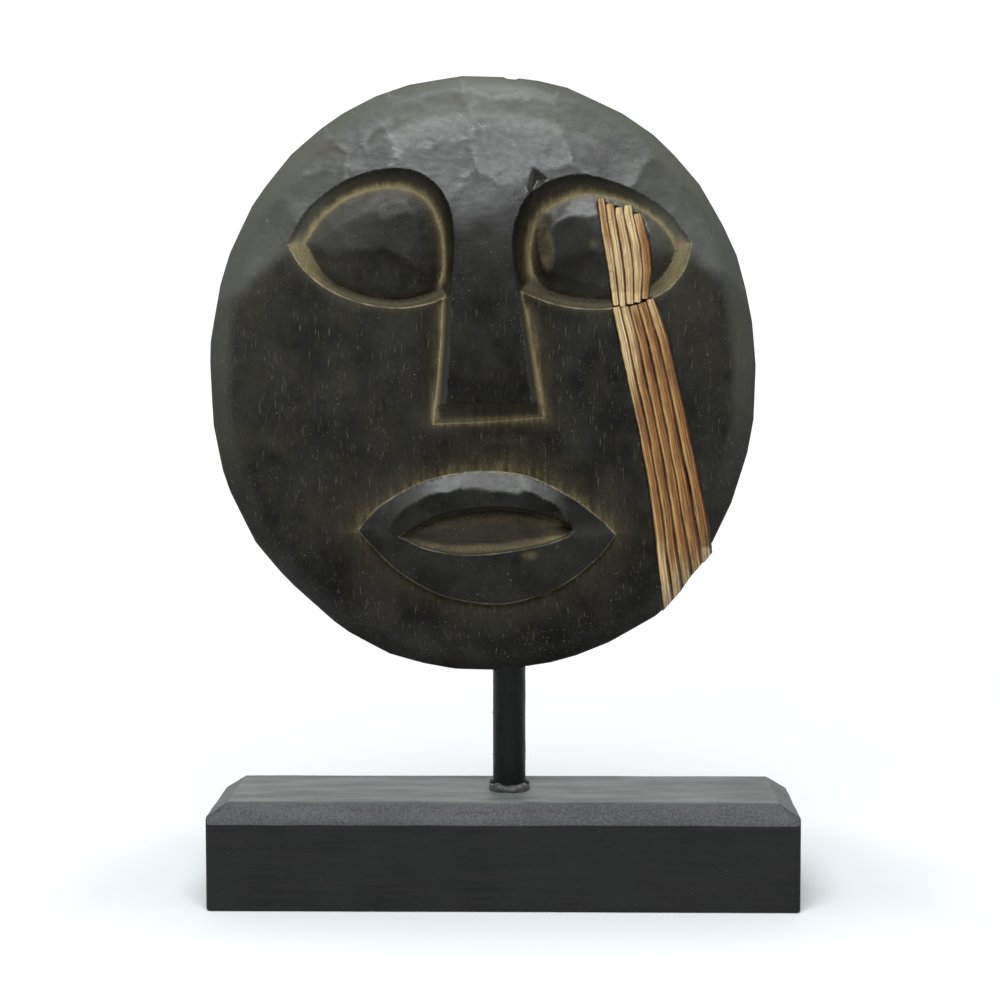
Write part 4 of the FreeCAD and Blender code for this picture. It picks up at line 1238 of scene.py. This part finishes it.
def make_plinth(tree, material):
    """The sawn plinth: a block with long hewn bevels, and a counterbore for its screw underneath."""
    middle = (plinth_low + plinth_high) / 2
    half = (plinth_high - plinth_low) / 2
    top = plinth_high[2]
    front_drop, front_run = 10.0, 6.5
    back_drop, back_run = 7.0, 6.5
    side_drop, side_run = 7.0, 10.5
    corner = 1.2
    steps = []
    for sx, sy, begin in ((1, 1, 0), (-1, 1, 90), (-1, -1, 180), (1, -1, 270)):
        for angle in np.radians(np.linspace(begin, begin + 90, 5)):
            steps.append((
                middle[0] + sx * (half[0] - corner) + corner * math.cos(angle),
                middle[1] + sy * (half[1] - corner) + corner * math.sin(angle),
            ))
    outline = evenly(closed_line(steps), 1.8)[:-1]

    def top_side(points):
        x, y = points[:, 0], points[:, 1]
        hewn = 0.25 * rough(x / 38, y / 16, 95, 2)
        flat = top - 0.12 * np.abs(rough(x / 42, y / 26, 96, 2)) + 0.018 * rough(x / 14, y / 1.2, 97, 2)
        front = top - front_drop + (y - plinth_low[1]) * front_drop / front_run + 2.0 * hewn
        back = top - back_drop + (plinth_high[1] - y) * back_drop / back_run + hewn
        left = top - side_drop + (x - plinth_low[0]) * side_drop / side_run + hewn
        right = top - side_drop + (plinth_high[0] - x) * side_drop / side_run + hewn
        level = flat
        for plane in (front, back, left, right):
            level = soft_min(level, plane, 0.16)
        bevelled = ease(flat - level, 0.15, 0.9)
        worn_edge = np.exp(-((flat - level - 0.35) / 0.35) ** 2)
        return level, {"bevel": bevelled, "worn_edge": worn_edge, "top_face": 1 - bevelled}

    screw_x, screw_y = (screw_low[0] + screw_high[0]) / 2, (screw_low[1] + screw_high[1]) / 2
    bore, bore_depth = 6.5, screw_low[2] + 3.0

    def under_side(points):
        x, y = points[:, 0], points[:, 1]
        out = np.hypot(x - screw_x, y - screw_y)
        zero = np.zeros_like(x)
        level = np.where(out < bore - 0.05, bore_depth, 0.0)
        return level, {"bevel": zero, "worn_edge": zero, "top_face": zero}

    turns = np.linspace(0, 2 * np.pi, 64)
    unit_circle = np.stack([np.cos(turns), np.sin(turns)], axis=1)
    bore_lines = [(screw_x, screw_y) + radius * unit_circle for radius in (bore, bore - 0.2)]
    inner_box = evenly(np.array([
        (plinth_low[0] + side_run, plinth_low[1] + front_run),
        (plinth_high[0] - side_run, plinth_low[1] + front_run),
        (plinth_high[0] - side_run, plinth_high[1] - back_run),
        (plinth_low[0] + side_run, plinth_high[1] - back_run),
        (plinth_low[0] + side_run, plinth_low[1] + front_run),
    ]), 1.0)
    side_rings = [(s, 0.0) for s in np.linspace(0.012, 0.98, 30)] + [(1.0, 0.5)]
    places, faces, layers = relief_block(
        outline, [inner_box], top_side, under_side, side_rings, coarse=2.4, fine=0.9, reach=3.0,
        back_lines=bore_lines, spill=0.0,
    )
    x, y, z = places.T
    sway = 0.10 * rough(x / 45, z / 9, 98, 2) + 0.025 * rough(x / 18, z / 0.9, 99, 2)
    on_wall = (z > 0.1) & (np.abs(y - middle[1]) > half[1] - 0.6)
    places[:, 1] += np.where(on_wall, sway, 0)
    block = make_mesh("sawn_plinth", places * MM, faces, layers)
    block = grown(block, tree, {
        "Per Square Metre": 1800.0, "Smallest": 0.00008, "Largest": 0.00022, "Seed": 8,
        "Surface": material,
    })
    return finish_piece(block, "plinth", material)


def make_screw(material):
    """The countersunk screw that holds the post from below, with a cross recess in its head."""
    middle = (screw_low + screw_high) / 2
    head = (screw_high[0] - screw_low[0]) / 2
    turns = np.linspace(0, 2 * np.pi, 73)[:-1]
    outline = np.stack([middle[0] + head * np.cos(turns), -middle[1] + head * np.sin(turns)], axis=1)
    head_depth = 3.2

    def underside(points):
        x, y = points[:, 0] - middle[0], points[:, 1] + middle[1]
        out = np.hypot(x, y)
        arm = np.minimum(np.abs(x), np.abs(y))
        reach = np.maximum(np.abs(x), np.abs(y))
        recess = 1.5 * ease(-arm, -0.75, -0.45) * ease(-reach, -3.0, -2.5)
        return head_depth - 0.5 * (out / head) ** 2 - recess, {}

    def shoulder(points):
        return np.zeros(len(points)), {}

    side_rings = [(0.3, 0.0), (0.5, 0.7), (0.8, 1.8), (1.0, 2.4)]
    places, faces, layers = relief_block(
        outline, [], underside, shoulder, side_rings, coarse=0.35, fine=0.35, reach=0
    )
    turned = np.stack([places[:, 0], -places[:, 1], screw_low[2] + head_depth - places[:, 2]], axis=1)
    head_piece = make_mesh("screw_head", turned * MM, faces, layers)
    shank_levels = np.linspace(screw_low[2] + head_depth - 0.3, screw_high[2] - 3.0, 60)
    shank = [(1.9 + 0.5 * abs(math.sin(h * 1.6)), h) for h in shank_levels] + [(0.15, screw_high[2])]
    shank_piece = turned_piece("screw_shank", shank, middle, 24)
    with bpy.context.temp_override(
        active_object=head_piece, selected_editable_objects=[head_piece, shank_piece],
        selected_objects=[head_piece, shank_piece],
    ):
        bpy.ops.object.join()
    return finish_piece(head_piece, "plinth_screw", material)


# ================================================================ finishes

def colour(red, green, blue):
    """A paint chip's red, green and blue from 0 to 255, as the shader's linear colour."""
    shades = [value / 255 for value in (red, green, blue)]
    linear = [v / 12.92 if v <= 0.04045 else ((v + 0.055) / 1.055) ** 2.4 for v in shades]
    return (*linear, 1.0)


def wood_grain_group():
    tree, given, result = new_group("wood_grain", "ShaderNodeTree", {
        "Place": ("vector", None), "Run": ("vector", (1.0, 1.0, 0.1)), "Fineness": ("number", 300.0),
        "Open": ("number", 0.6),
    }, {"Streaks": "number", "Pores": "number"})
    long_way = tree.vector("MULTIPLY", given["Place"], given["Run"])
    streaks = tree.noise(long_way, given["Fineness"], 5.0, 0.6, 0.3)
    finer = tree.times(given["Fineness"], 2.7)
    pores = tree.noise(long_way, finer, 2.0, 0.5)
    limit = tree.minus(0.86, tree.times(given["Open"], 0.26))
    tree.join(tree.spread(streaks, 0.3, 0.7), result["Streaks"])
    tree.join(tree.spread(pores, limit, tree.plus(limit, 0.07)), result["Pores"])
    return tree.tree


def dust_group():
    tree, given, result = new_group("gathered_dust", "ShaderNodeTree", {
        "Place": ("vector", None), "Speck": ("number", 1500.0), "Patch": ("number", 40.0),
        "Amount": ("number", 0.5),
    }, {"Dust": "number"})
    specks = tree.noise(given["Place"], given["Speck"], 1.0, 0.4)
    patches = tree.spread(tree.noise(given["Place"], given["Patch"], 3.0, 0.6), 0.35, 0.7)
    limit = tree.minus(0.80, tree.times(given["Amount"], 0.15))
    dots = tree.spread(specks, limit, tree.plus(limit, 0.06))
    tree.join(tree.times(dots, patches), result["Dust"])
    return tree.tree


def scratches_group():
    tree, given, result = new_group("fine_scratches", "ShaderNodeTree", {
        "Place": ("vector", None), "Run": ("vector", (1.0, 1.0, 0.06)), "Fineness": ("number", 240.0),
        "Width": ("number", 0.006),
    }, {"Scratches": "number"})
    lean = tree.put("ShaderNodeVectorRotate", {"Vector": given["Place"], "Angle": 0.5},
                    rotation_type="Y_AXIS").outputs[0]
    long_way = tree.vector("MULTIPLY", lean, given["Run"])
    field = tree.noise(long_way, given["Fineness"], 1.0, 0.3)
    near = tree.maths("ABSOLUTE", tree.minus(field, 0.5))
    lines = tree.spread(near, given["Width"], 0.0)
    broken = tree.spread(tree.noise(given["Place"], 130.0, 2.0, 0.6), 0.56, 0.66)
    tree.join(tree.times(lines, broken), result["Scratches"])
    return tree.tree


def uneven_tone_group():
    tree, given, result = new_group("uneven_tone", "ShaderNodeTree", {
        "Place": ("vector", None), "Size": ("number", 60.0), "Deep": ("colour", (0, 0, 0, 1)),
        "Light": ("colour", (1, 1, 1, 1)),
    }, {"Tone": "colour", "Cloud": "number"})
    cloud = tree.spread(tree.noise(given["Place"], given["Size"], 6.0, 0.62), 0.3, 0.7)
    tree.join(tree.blend(cloud, given["Deep"], given["Light"]), result["Tone"])
    tree.join(cloud, result["Cloud"])
    return tree.tree


GRAIN = wood_grain_group()
DUST = dust_group()
SCRATCHES = scratches_group()
UNEVEN = uneven_tone_group()


def new_finish(name, gloss_level):
    """A material with its principled shader. Gives the material, its tree and the shader."""
    material = bpy.data.materials.new(name)
    material.use_nodes = True
    tree = Tree(material.node_tree)
    shader = material.node_tree.nodes["Principled BSDF"]
    shader.inputs["Specular IOR Level"].default_value = gloss_level
    return material, tree, shader


def surface_to(tree, shader, base, roughness, height, distance):
    """Joins colour, roughness and bump height to the shader."""
    tree.join(base, shader.inputs["Base Color"])
    tree.join(roughness, shader.inputs["Roughness"])
    bump = tree.put("ShaderNodeBump", {"Height": height, "Distance": distance, "Strength": 1.0})
    tree.join(bump.outputs[0], shader.inputs["Normal"])


def carved_wood_finish():
    """Black-brown stained wood with ochre left in the hollows and pale wood where edges are rubbed,
    painted grey sheen on the rim, forehead, nose walls and upper lip, and painted shade under the brow and
    in the pit and knife slip.
    """
    material, tree, shader = new_finish("stained_carved_wood", 0.15)
    place = tree.put("ShaderNodeTexCoord").outputs["Object"]
    grain = tree.group(GRAIN, {"Place": place, "Run": (1.0, 1.0, 0.10), "Fineness": 500.0, "Open": 0.84})
    tone = tree.group(UNEVEN, {
        "Place": place, "Size": 34.0, "Deep": colour(5, 5, 4), "Light": colour(36, 35, 31),
    })
    dust = tree.group(DUST, {"Place": place, "Speck": 1400.0, "Patch": 45.0, "Amount": 0.62})
    scratches = tree.group(SCRATCHES, {"Place": place, "Fineness": 210.0, "Width": 0.007})
    patina, pale, shade_and_dark_marks = tree.layer("patina"), tree.layer("pale"), tree.layer("shade_and_dark_marks")
    open_grain, polish, rim = tree.layer("open_grain"), tree.layer("polish"), tree.layer("rim")
    feather = tree.layer("feather")

    base = tone["Tone"]
    # painted grey sheen on the rim, forehead, nose walls and upper lip
    base = tree.blend(tree.times(rim, 0.75), base, colour(102, 103, 95))
    mottle = tree.noise(tree.vector("MULTIPLY", place, (0.6, 1.0, 1.0)), 420.0, 4.0, 0.65)
    frayed = tree.times(feather, tree.spread(mottle, 0.38, 0.62, 0.25, 0.9))
    base = tree.blend(tree.times(frayed, 0.5), base, colour(140, 143, 143))
    flecks = tree.times(grain["Pores"], tree.times(open_grain, 0.32))
    base = tree.blend(flecks, base, colour(112, 106, 92))
    dots = tree.times(dust["Dust"], 0.55)
    base = tree.blend(dots, base, colour(150, 148, 138))
    lines = tree.times(scratches["Scratches"], tree.times(polish, 0.5))
    base = tree.blend(lines, base, colour(150, 148, 140))

    fine = tree.noise(place, 900.0, 4.0, 0.65)
    edge_break = tree.times(tree.minus(fine, 0.5), 0.55)
    held = tree.plus(patina, tree.times(edge_break, tree.spread(patina, 0.0, 0.3)))
    held = tree.put("ShaderNodeClamp", {0: tree.times(held, 1.04)}).outputs[0]
    depth = tree.plus(patina, tree.times(tree.minus(fine, 0.5), 0.3))
    ochre = tree.blend(tree.spread(depth, 0.15, 1.12), colour(76, 67, 38), colour(148, 136, 100))
    ochre = tree.blend(tree.times(grain["Streaks"], 0.22), ochre, colour(60, 50, 28))
    base = tree.blend(tree.times(held, 0.9), base, ochre)
    rubbed = tree.spread(tree.plus(pale, tree.times(edge_break, pale)), 0.15, 0.8)
    base = tree.blend(tree.times(rubbed, 0.55), base, colour(164, 155, 126))
    # painted shade under the brow, in the pit and in the knife slip, with darker patches low on the
    # eyeballs, the knot's dark outline and the darkened cane beds
    base = tree.blend(tree.times(shade_and_dark_marks, 0.82), base, colour(15, 12, 9))

    shader.inputs["Coat Roughness"].default_value = 0.40
    waxed = tree.times(polish, tree.minus(1.0, held))
    waxed = tree.times(waxed, tree.spread(mottle, 0.34, 0.66, 0.58, 0.90))
    tree.join(waxed, shader.inputs["Coat Weight"])
    rough_start = tree.minus(0.52, tree.times(polish, 0.10))
    rough_ochre = tree.times(held, 0.22)
    rough_noise = tree.times(tree.minus(tone["Cloud"], 0.5), 0.10)
    roughness = tree.plus(tree.plus(rough_start, rough_ochre), rough_noise)
    dull = tree.minus(0.4, tree.times(polish, 0.36))
    height = tree.plus(tree.times(grain["Streaks"], dull), tree.times(fine, 0.5))
    height = tree.minus(height, tree.times(flecks, 0.9))
    height = tree.minus(height, tree.times(lines, 0.6))
    surface_to(tree, shader, base, roughness, height, 0.00022)
    return material


def plinth_finish():
    """Charcoal paint rubbed thin along the bevels, with a painted grey reflection in patches over the top
    face.
    """
    material, tree, shader = new_finish("rubbed_charcoal_paint_and_reflection", 0.2)
    place = tree.put("ShaderNodeTexCoord").outputs["Object"]
    grain = tree.group(GRAIN, {"Place": place, "Run": (0.05, 1.0, 1.0), "Fineness": 520.0, "Open": 0.7})
    tone = tree.group(UNEVEN, {
        "Place": place, "Size": 25.0, "Deep": colour(20, 20, 20), "Light": colour(30, 30, 30),
    })
    dust = tree.group(DUST, {"Place": place, "Speck": 1700.0, "Patch": 60.0, "Amount": 0.55})
    bevel, worn, top_face = tree.layer("bevel"), tree.layer("worn_edge"), tree.layer("top_face")
    base = tone["Tone"]
    base = tree.blend(tree.times(grain["Streaks"], 0.6), base, colour(36, 34, 32))
    fine = tree.noise(place, 1100.0, 3.0, 0.6)
    drift = tree.noise(tree.vector("MULTIPLY", place, (0.25, 1.0, 1.0)), 90.0, 5.0, 0.65)
    # painted reflection: the top face greyed in drifting patches
    top_painted_reflection = tree.times(top_face, tree.spread(drift, 0.32, 0.68, 0.42, 0.86))
    base = tree.blend(top_painted_reflection, base, colour(116, 121, 118))
    grainy = tree.plus(tree.times(fine, 0.7), tree.times(drift, 0.3))
    thin_bevel = tree.times(bevel, tree.spread(grainy, 0.40, 0.60, 0.42, 0.98))
    base = tree.blend(thin_bevel, base, colour(84, 85, 87))
    base = tree.blend(tree.times(worn, 0.35), base, colour(88, 89, 88))
    base = tree.blend(tree.times(dust["Dust"], 0.5), base, colour(140, 140, 136))
    base = tree.blend(tree.times(grain["Pores"], 0.3), base, colour(24, 24, 24))
    roughness = tree.plus(0.52, tree.times(fine, 0.14))
    height = tree.minus(tree.times(fine, 0.5), tree.times(grain["Pores"], 0.6))
    surface_to(tree, shader, base, roughness, height, 0.00016)
    return material


def post_finish():
    material, tree, shader = new_finish("black_post_paint", 0.24)
    place = tree.put("ShaderNodeTexCoord").outputs["Object"]
    tone = tree.group(UNEVEN, {
        "Place": place, "Size": 90.0, "Deep": colour(6, 6, 6), "Light": colour(15, 15, 15),
    })
    dust = tree.group(DUST, {"Place": place, "Speck": 1500.0, "Patch": 90.0, "Amount": 0.5})
    base = tree.blend(tree.times(dust["Dust"], 0.4), tone["Tone"], colour(110, 112, 112))
    fine = tree.noise(place, 800.0, 4.0, 0.6)
    roughness = tree.plus(0.36, tree.times(fine, 0.2))
    surface_to(tree, shader, base, roughness, fine, 0.0003)
    return material


def cane_finish():
    """Split cane: straw yellow with orange-brown streaks and dark specks, a painted highlight along one
    flank and painted shade along the other flank and the edges.
    """
    material, tree, shader = new_finish("split_cane", 0.35)
    place = tree.put("ShaderNodeTexCoord").outputs["Object"]
    around, along = tree.layer("around"), tree.layer("along")
    stain, lot = tree.layer("stain"), tree.layer("lot")
    turn = tree.times(around, 6.2832)
    spot = tree.put("ShaderNodeCombineXYZ", {
        0: tree.times(tree.maths("SINE", turn), 1.3),
        1: tree.times(tree.maths("COSINE", turn), 1.3),
        2: tree.times(along, 9.0),
    }).outputs[0]
    shift = tree.put("ShaderNodeCombineXYZ", {0: tree.times(lot, 7.3), 1: 0.0, 2: 0.0}).outputs[0]
    spot = tree.vector("ADD", spot, shift)
    fibres = tree.noise(spot, 7.0, 5.0, 0.65, 0.2)
    broad = tree.noise(spot, 1.6, 3.0, 0.6)
    base = tree.blend(tree.spread(fibres, 0.40, 0.60), colour(166, 128, 76), colour(238, 220, 174))
    patchy = tree.plus(tree.times(broad, 0.9), tree.times(fibres, 0.5))
    stained = tree.spread(tree.plus(patchy, tree.times(stain, 0.62)), 0.78, 1.18)
    brown = tree.blend(tree.spread(fibres, 0.40, 0.62), colour(72, 37, 10), colour(176, 110, 36))
    base = tree.blend(tree.times(stained, 0.9), base, brown)
    deep = tree.spread(tree.noise(spot, 10.0, 3.0, 0.6), 0.55, 0.68)
    base = tree.blend(tree.times(deep, 0.7), base, colour(82, 46, 18))
    specks = tree.group(DUST, {"Place": place, "Speck": 1100.0, "Patch": 70.0, "Amount": 0.8})["Dust"]
    base = tree.blend(tree.times(specks, 0.8), base, colour(58, 36, 18))
    sideways = tree.maths("SINE", turn)
    # painted highlight along one flank of each cane, broken up by the fibres
    lit_flank_highlight = tree.times(tree.spread(sideways, 0.40, 0.62), tree.spread(fibres, 0.35, 0.6))
    base = tree.blend(tree.times(lit_flank_highlight, 0.6), base, colour(214, 186, 126))
    # painted shade on the other flank and at the far edge of the lit one, where the canes meet
    painted_side_shade = tree.spread(sideways, -0.58, -0.88)
    painted_side_shade = tree.maths("MAXIMUM", painted_side_shade, tree.spread(sideways, 0.80, 0.95))
    base = tree.blend(tree.times(painted_side_shade, 0.9), base, colour(56, 26, 8))
    crack_field = tree.noise(tree.vector("MULTIPLY", spot, (1.0, 1.0, 0.35)), 3.2, 1.0, 0.3)
    crack_near = tree.maths("ABSOLUTE", tree.minus(crack_field, 0.5))
    cracks = tree.times(tree.spread(crack_near, 0.016, 0.0), tree.spread(broad, 0.4, 0.55))
    base = tree.blend(tree.times(cracks, 0.75), base, colour(58, 34, 16))
    roughness = tree.plus(0.48, tree.times(fibres, 0.2))
    surface_to(tree, shader, base, roughness, fibres, 0.0003)
    return material


def glue_finish():
    material, tree, shader = new_finish("dark_glue", 0.55)
    place = tree.put("ShaderNodeTexCoord").outputs["Object"]
    tone = tree.group(UNEVEN, {
        "Place": place, "Size": 260.0, "Deep": colour(24, 25, 25), "Light": colour(74, 76, 75),
    })
    fine = tree.noise(place, 900.0, 3.0, 0.6)
    roughness = tree.spread(fine, 0.35, 0.65, 0.4, 0.7)
    surface_to(tree, shader, tone["Tone"], roughness, fine, 0.0004)
    return material


def steel_finish():
    material, tree, shader = new_finish("zinc_screw_steel", 0.5)
    place = tree.put("ShaderNodeTexCoord").outputs["Object"]
    shader.inputs["Metallic"].default_value = 1.0
    tone = tree.group(UNEVEN, {
        "Place": place, "Size": 400.0, "Deep": colour(120, 120, 118), "Light": colour(170, 170, 168),
    })
    fine = tree.noise(place, 1600.0, 2.0, 0.6)
    roughness = tree.spread(fine, 0.3, 0.7, 0.28, 0.46)
    surface_to(tree, shader, tone["Tone"], roughness, fine, 0.0001)
    return material


# ================================================================ floor, light and camera

def make_stage():
    """A pale floor that glows with painted light, none near the plinth and more towards its edge and
    beside the object, a dim white room and large soft lamps.
    """
    low, high = CAD_BOX
    span = high[2] - low[2]
    mesh = bpy.data.meshes.new("floor")
    reach = 1.7 * span
    behind = 0.9 * span
    turns = np.linspace(0, 2 * np.pi, 97)[:-1]
    edge = [(reach * math.cos(t), behind + reach * math.sin(t), 0) for t in turns]
    mesh.from_pydata(edge, [], [tuple(range(96))])
    floor = bpy.data.objects.new("floor", mesh)
    floor.location.z = low[2] - 0.0004
    bpy.context.scene.collection.objects.link(floor)
    material, tree, shader = new_finish("white_floor", 0.1)
    place = tree.put("ShaderNodeTexCoord").outputs["Object"]
    cloud = tree.noise(place, 4.0, 2.0, 0.5)
    pale = tree.blend(cloud, (0.70, 0.73, 0.74, 1), (0.74, 0.765, 0.775, 1))
    tree.join(pale, shader.inputs["Base Color"])
    from_middle = tree.vector("SUBTRACT", place, (0.0, behind, 0.0))
    away = tree.put("ShaderNodeVectorMath", {0: from_middle}, operation="LENGTH").outputs["Value"]
    # painted light: the floor glows towards its edge
    floor_painted_light = tree.spread(away, 0.5 * reach, 0.98 * reach, 0.0, 0.35)
    past = tree.vector("SUBTRACT", tree.vector("ABSOLUTE", place), (high[0], high[1], 0.0))
    past = tree.vector("MAXIMUM", past, (0.0, 0.0, 0.0))
    past = tree.put("ShaderNodeVectorMath", {0: past}, operation="LENGTH").outputs["Value"]
    depth = tree.put("ShaderNodeSeparateXYZ", {0: place}).outputs["Y"]
    # painted light: the floor glows beside and behind the object
    painted_light_beside = tree.times(tree.spread(past, 0.02, 0.16, 0.0, 0.3), tree.spread(depth, -0.16, -0.02))
    floor_painted_light = tree.maths("MAXIMUM", floor_painted_light, painted_light_beside)
    tree.join(tree.blend(floor_painted_light, (0, 0, 0, 1), (1, 1, 1, 1)), shader.inputs["Emission Color"])
    shader.inputs["Emission Strength"].default_value = 1.0
    shader.inputs["Roughness"].default_value = 0.9
    mesh.materials.append(material)

    world = bpy.data.worlds.new("white_room")
    bpy.context.scene.world = world
    world.use_nodes = True
    nodes = world.node_tree.nodes
    links = world.node_tree.links
    room = nodes["Background"]
    room.inputs["Color"].default_value = (0.90, 0.95, 1.0, 1)
    room.inputs["Strength"].default_value = 0.10
    seen = nodes.new("ShaderNodeBackground")
    seen.inputs["Color"].default_value = (1, 1, 1, 1)
    seen.inputs["Strength"].default_value = 1.1
    ray = nodes.new("ShaderNodeLightPath")
    mixed = nodes.new("ShaderNodeMixShader")
    links.new(ray.outputs["Is Camera Ray"], mixed.inputs[0])
    links.new(room.outputs[0], mixed.inputs[1])
    links.new(seen.outputs[0], mixed.inputs[2])
    links.new(mixed.outputs[0], nodes["World Output"].inputs["Surface"])


# Name, azimuth, elevation, distance, size, power and tint. Azimuth 0 stands in front of the object.
LAMPS = (
    ("overhead", -4, 50, 1.5, 1.25, 34, (0.96, 0.985, 1.0)),
    ("left_fill", -78, 14, 1.8, 0.9, 4.0, (0.95, 0.98, 1.0)),
    ("right_fill", 76, 16, 1.8, 0.9, 3.0, (1.0, 0.99, 0.97)),
    ("left_wall", -122, 12, 1.7, 1.5, 5, (1.0, 1.0, 1.0)),
    ("right_wall", 122, 12, 1.7, 1.5, 4, (1.0, 1.0, 1.0)),
    ("white_wall", 180, 14, 1.7, 2.4, 20, (1.0, 1.0, 1.0)),
)


def add_lamp(name, azimuth, elevation, distance, size, power, tint):
    """A large soft lamp aimed at the middle of the object."""
    low, high = Vector(CAD_BOX[0]), Vector(CAD_BOX[1])
    middle = (low + high) / 2
    side, rise = math.radians(azimuth), math.radians(elevation)
    away = Vector((math.sin(side) * math.cos(rise), -math.cos(side) * math.cos(rise), math.sin(rise)))
    data = bpy.data.lights.new(name, "AREA")
    data.shape = "DISK"
    data.size = size
    data.energy = power
    data.color = tint
    lamp = bpy.data.objects.new(name, data)
    lamp.location = middle + away * distance
    lamp.rotation_euler = away.to_track_quat("Z", "Y").to_euler()
    bpy.context.scene.collection.objects.link(lamp)


def make_camera():
    """Looks at the face from a little under three object heights away, slightly from above."""
    low, high = Vector(CAD_BOX[0]), Vector(CAD_BOX[1])
    data = bpy.data.cameras.new("camera")
    data.sensor_width = 36.0
    data.lens = 86.54
    camera = bpy.data.objects.new("camera", data)
    span = high.z - low.z
    camera.location = (low.x + 0.4163 * span, low.y - 2.8348 * span, low.z + 0.7068 * span)
    camera.rotation_euler = (math.radians(90 - 4.277), math.radians(0.1), math.radians(1.251))
    bpy.context.scene.collection.objects.link(camera)
    bpy.context.scene.camera = camera


rods = rod_tree()
specks = specks_tree()
make_disc(carved_wood_finish())
make_canes(rods, cane_finish())
make_post(specks, post_finish())
make_glue(rods, glue_finish())
make_plinth(specks, plinth_finish())
make_screw(steel_finish())
make_stage()
for lamp in LAMPS:
    add_lamp(*lamp)
make_camera()
bpy.context.scene.view_settings.view_transform = "Standard"
bpy.context.scene.view_settings.look = "None"
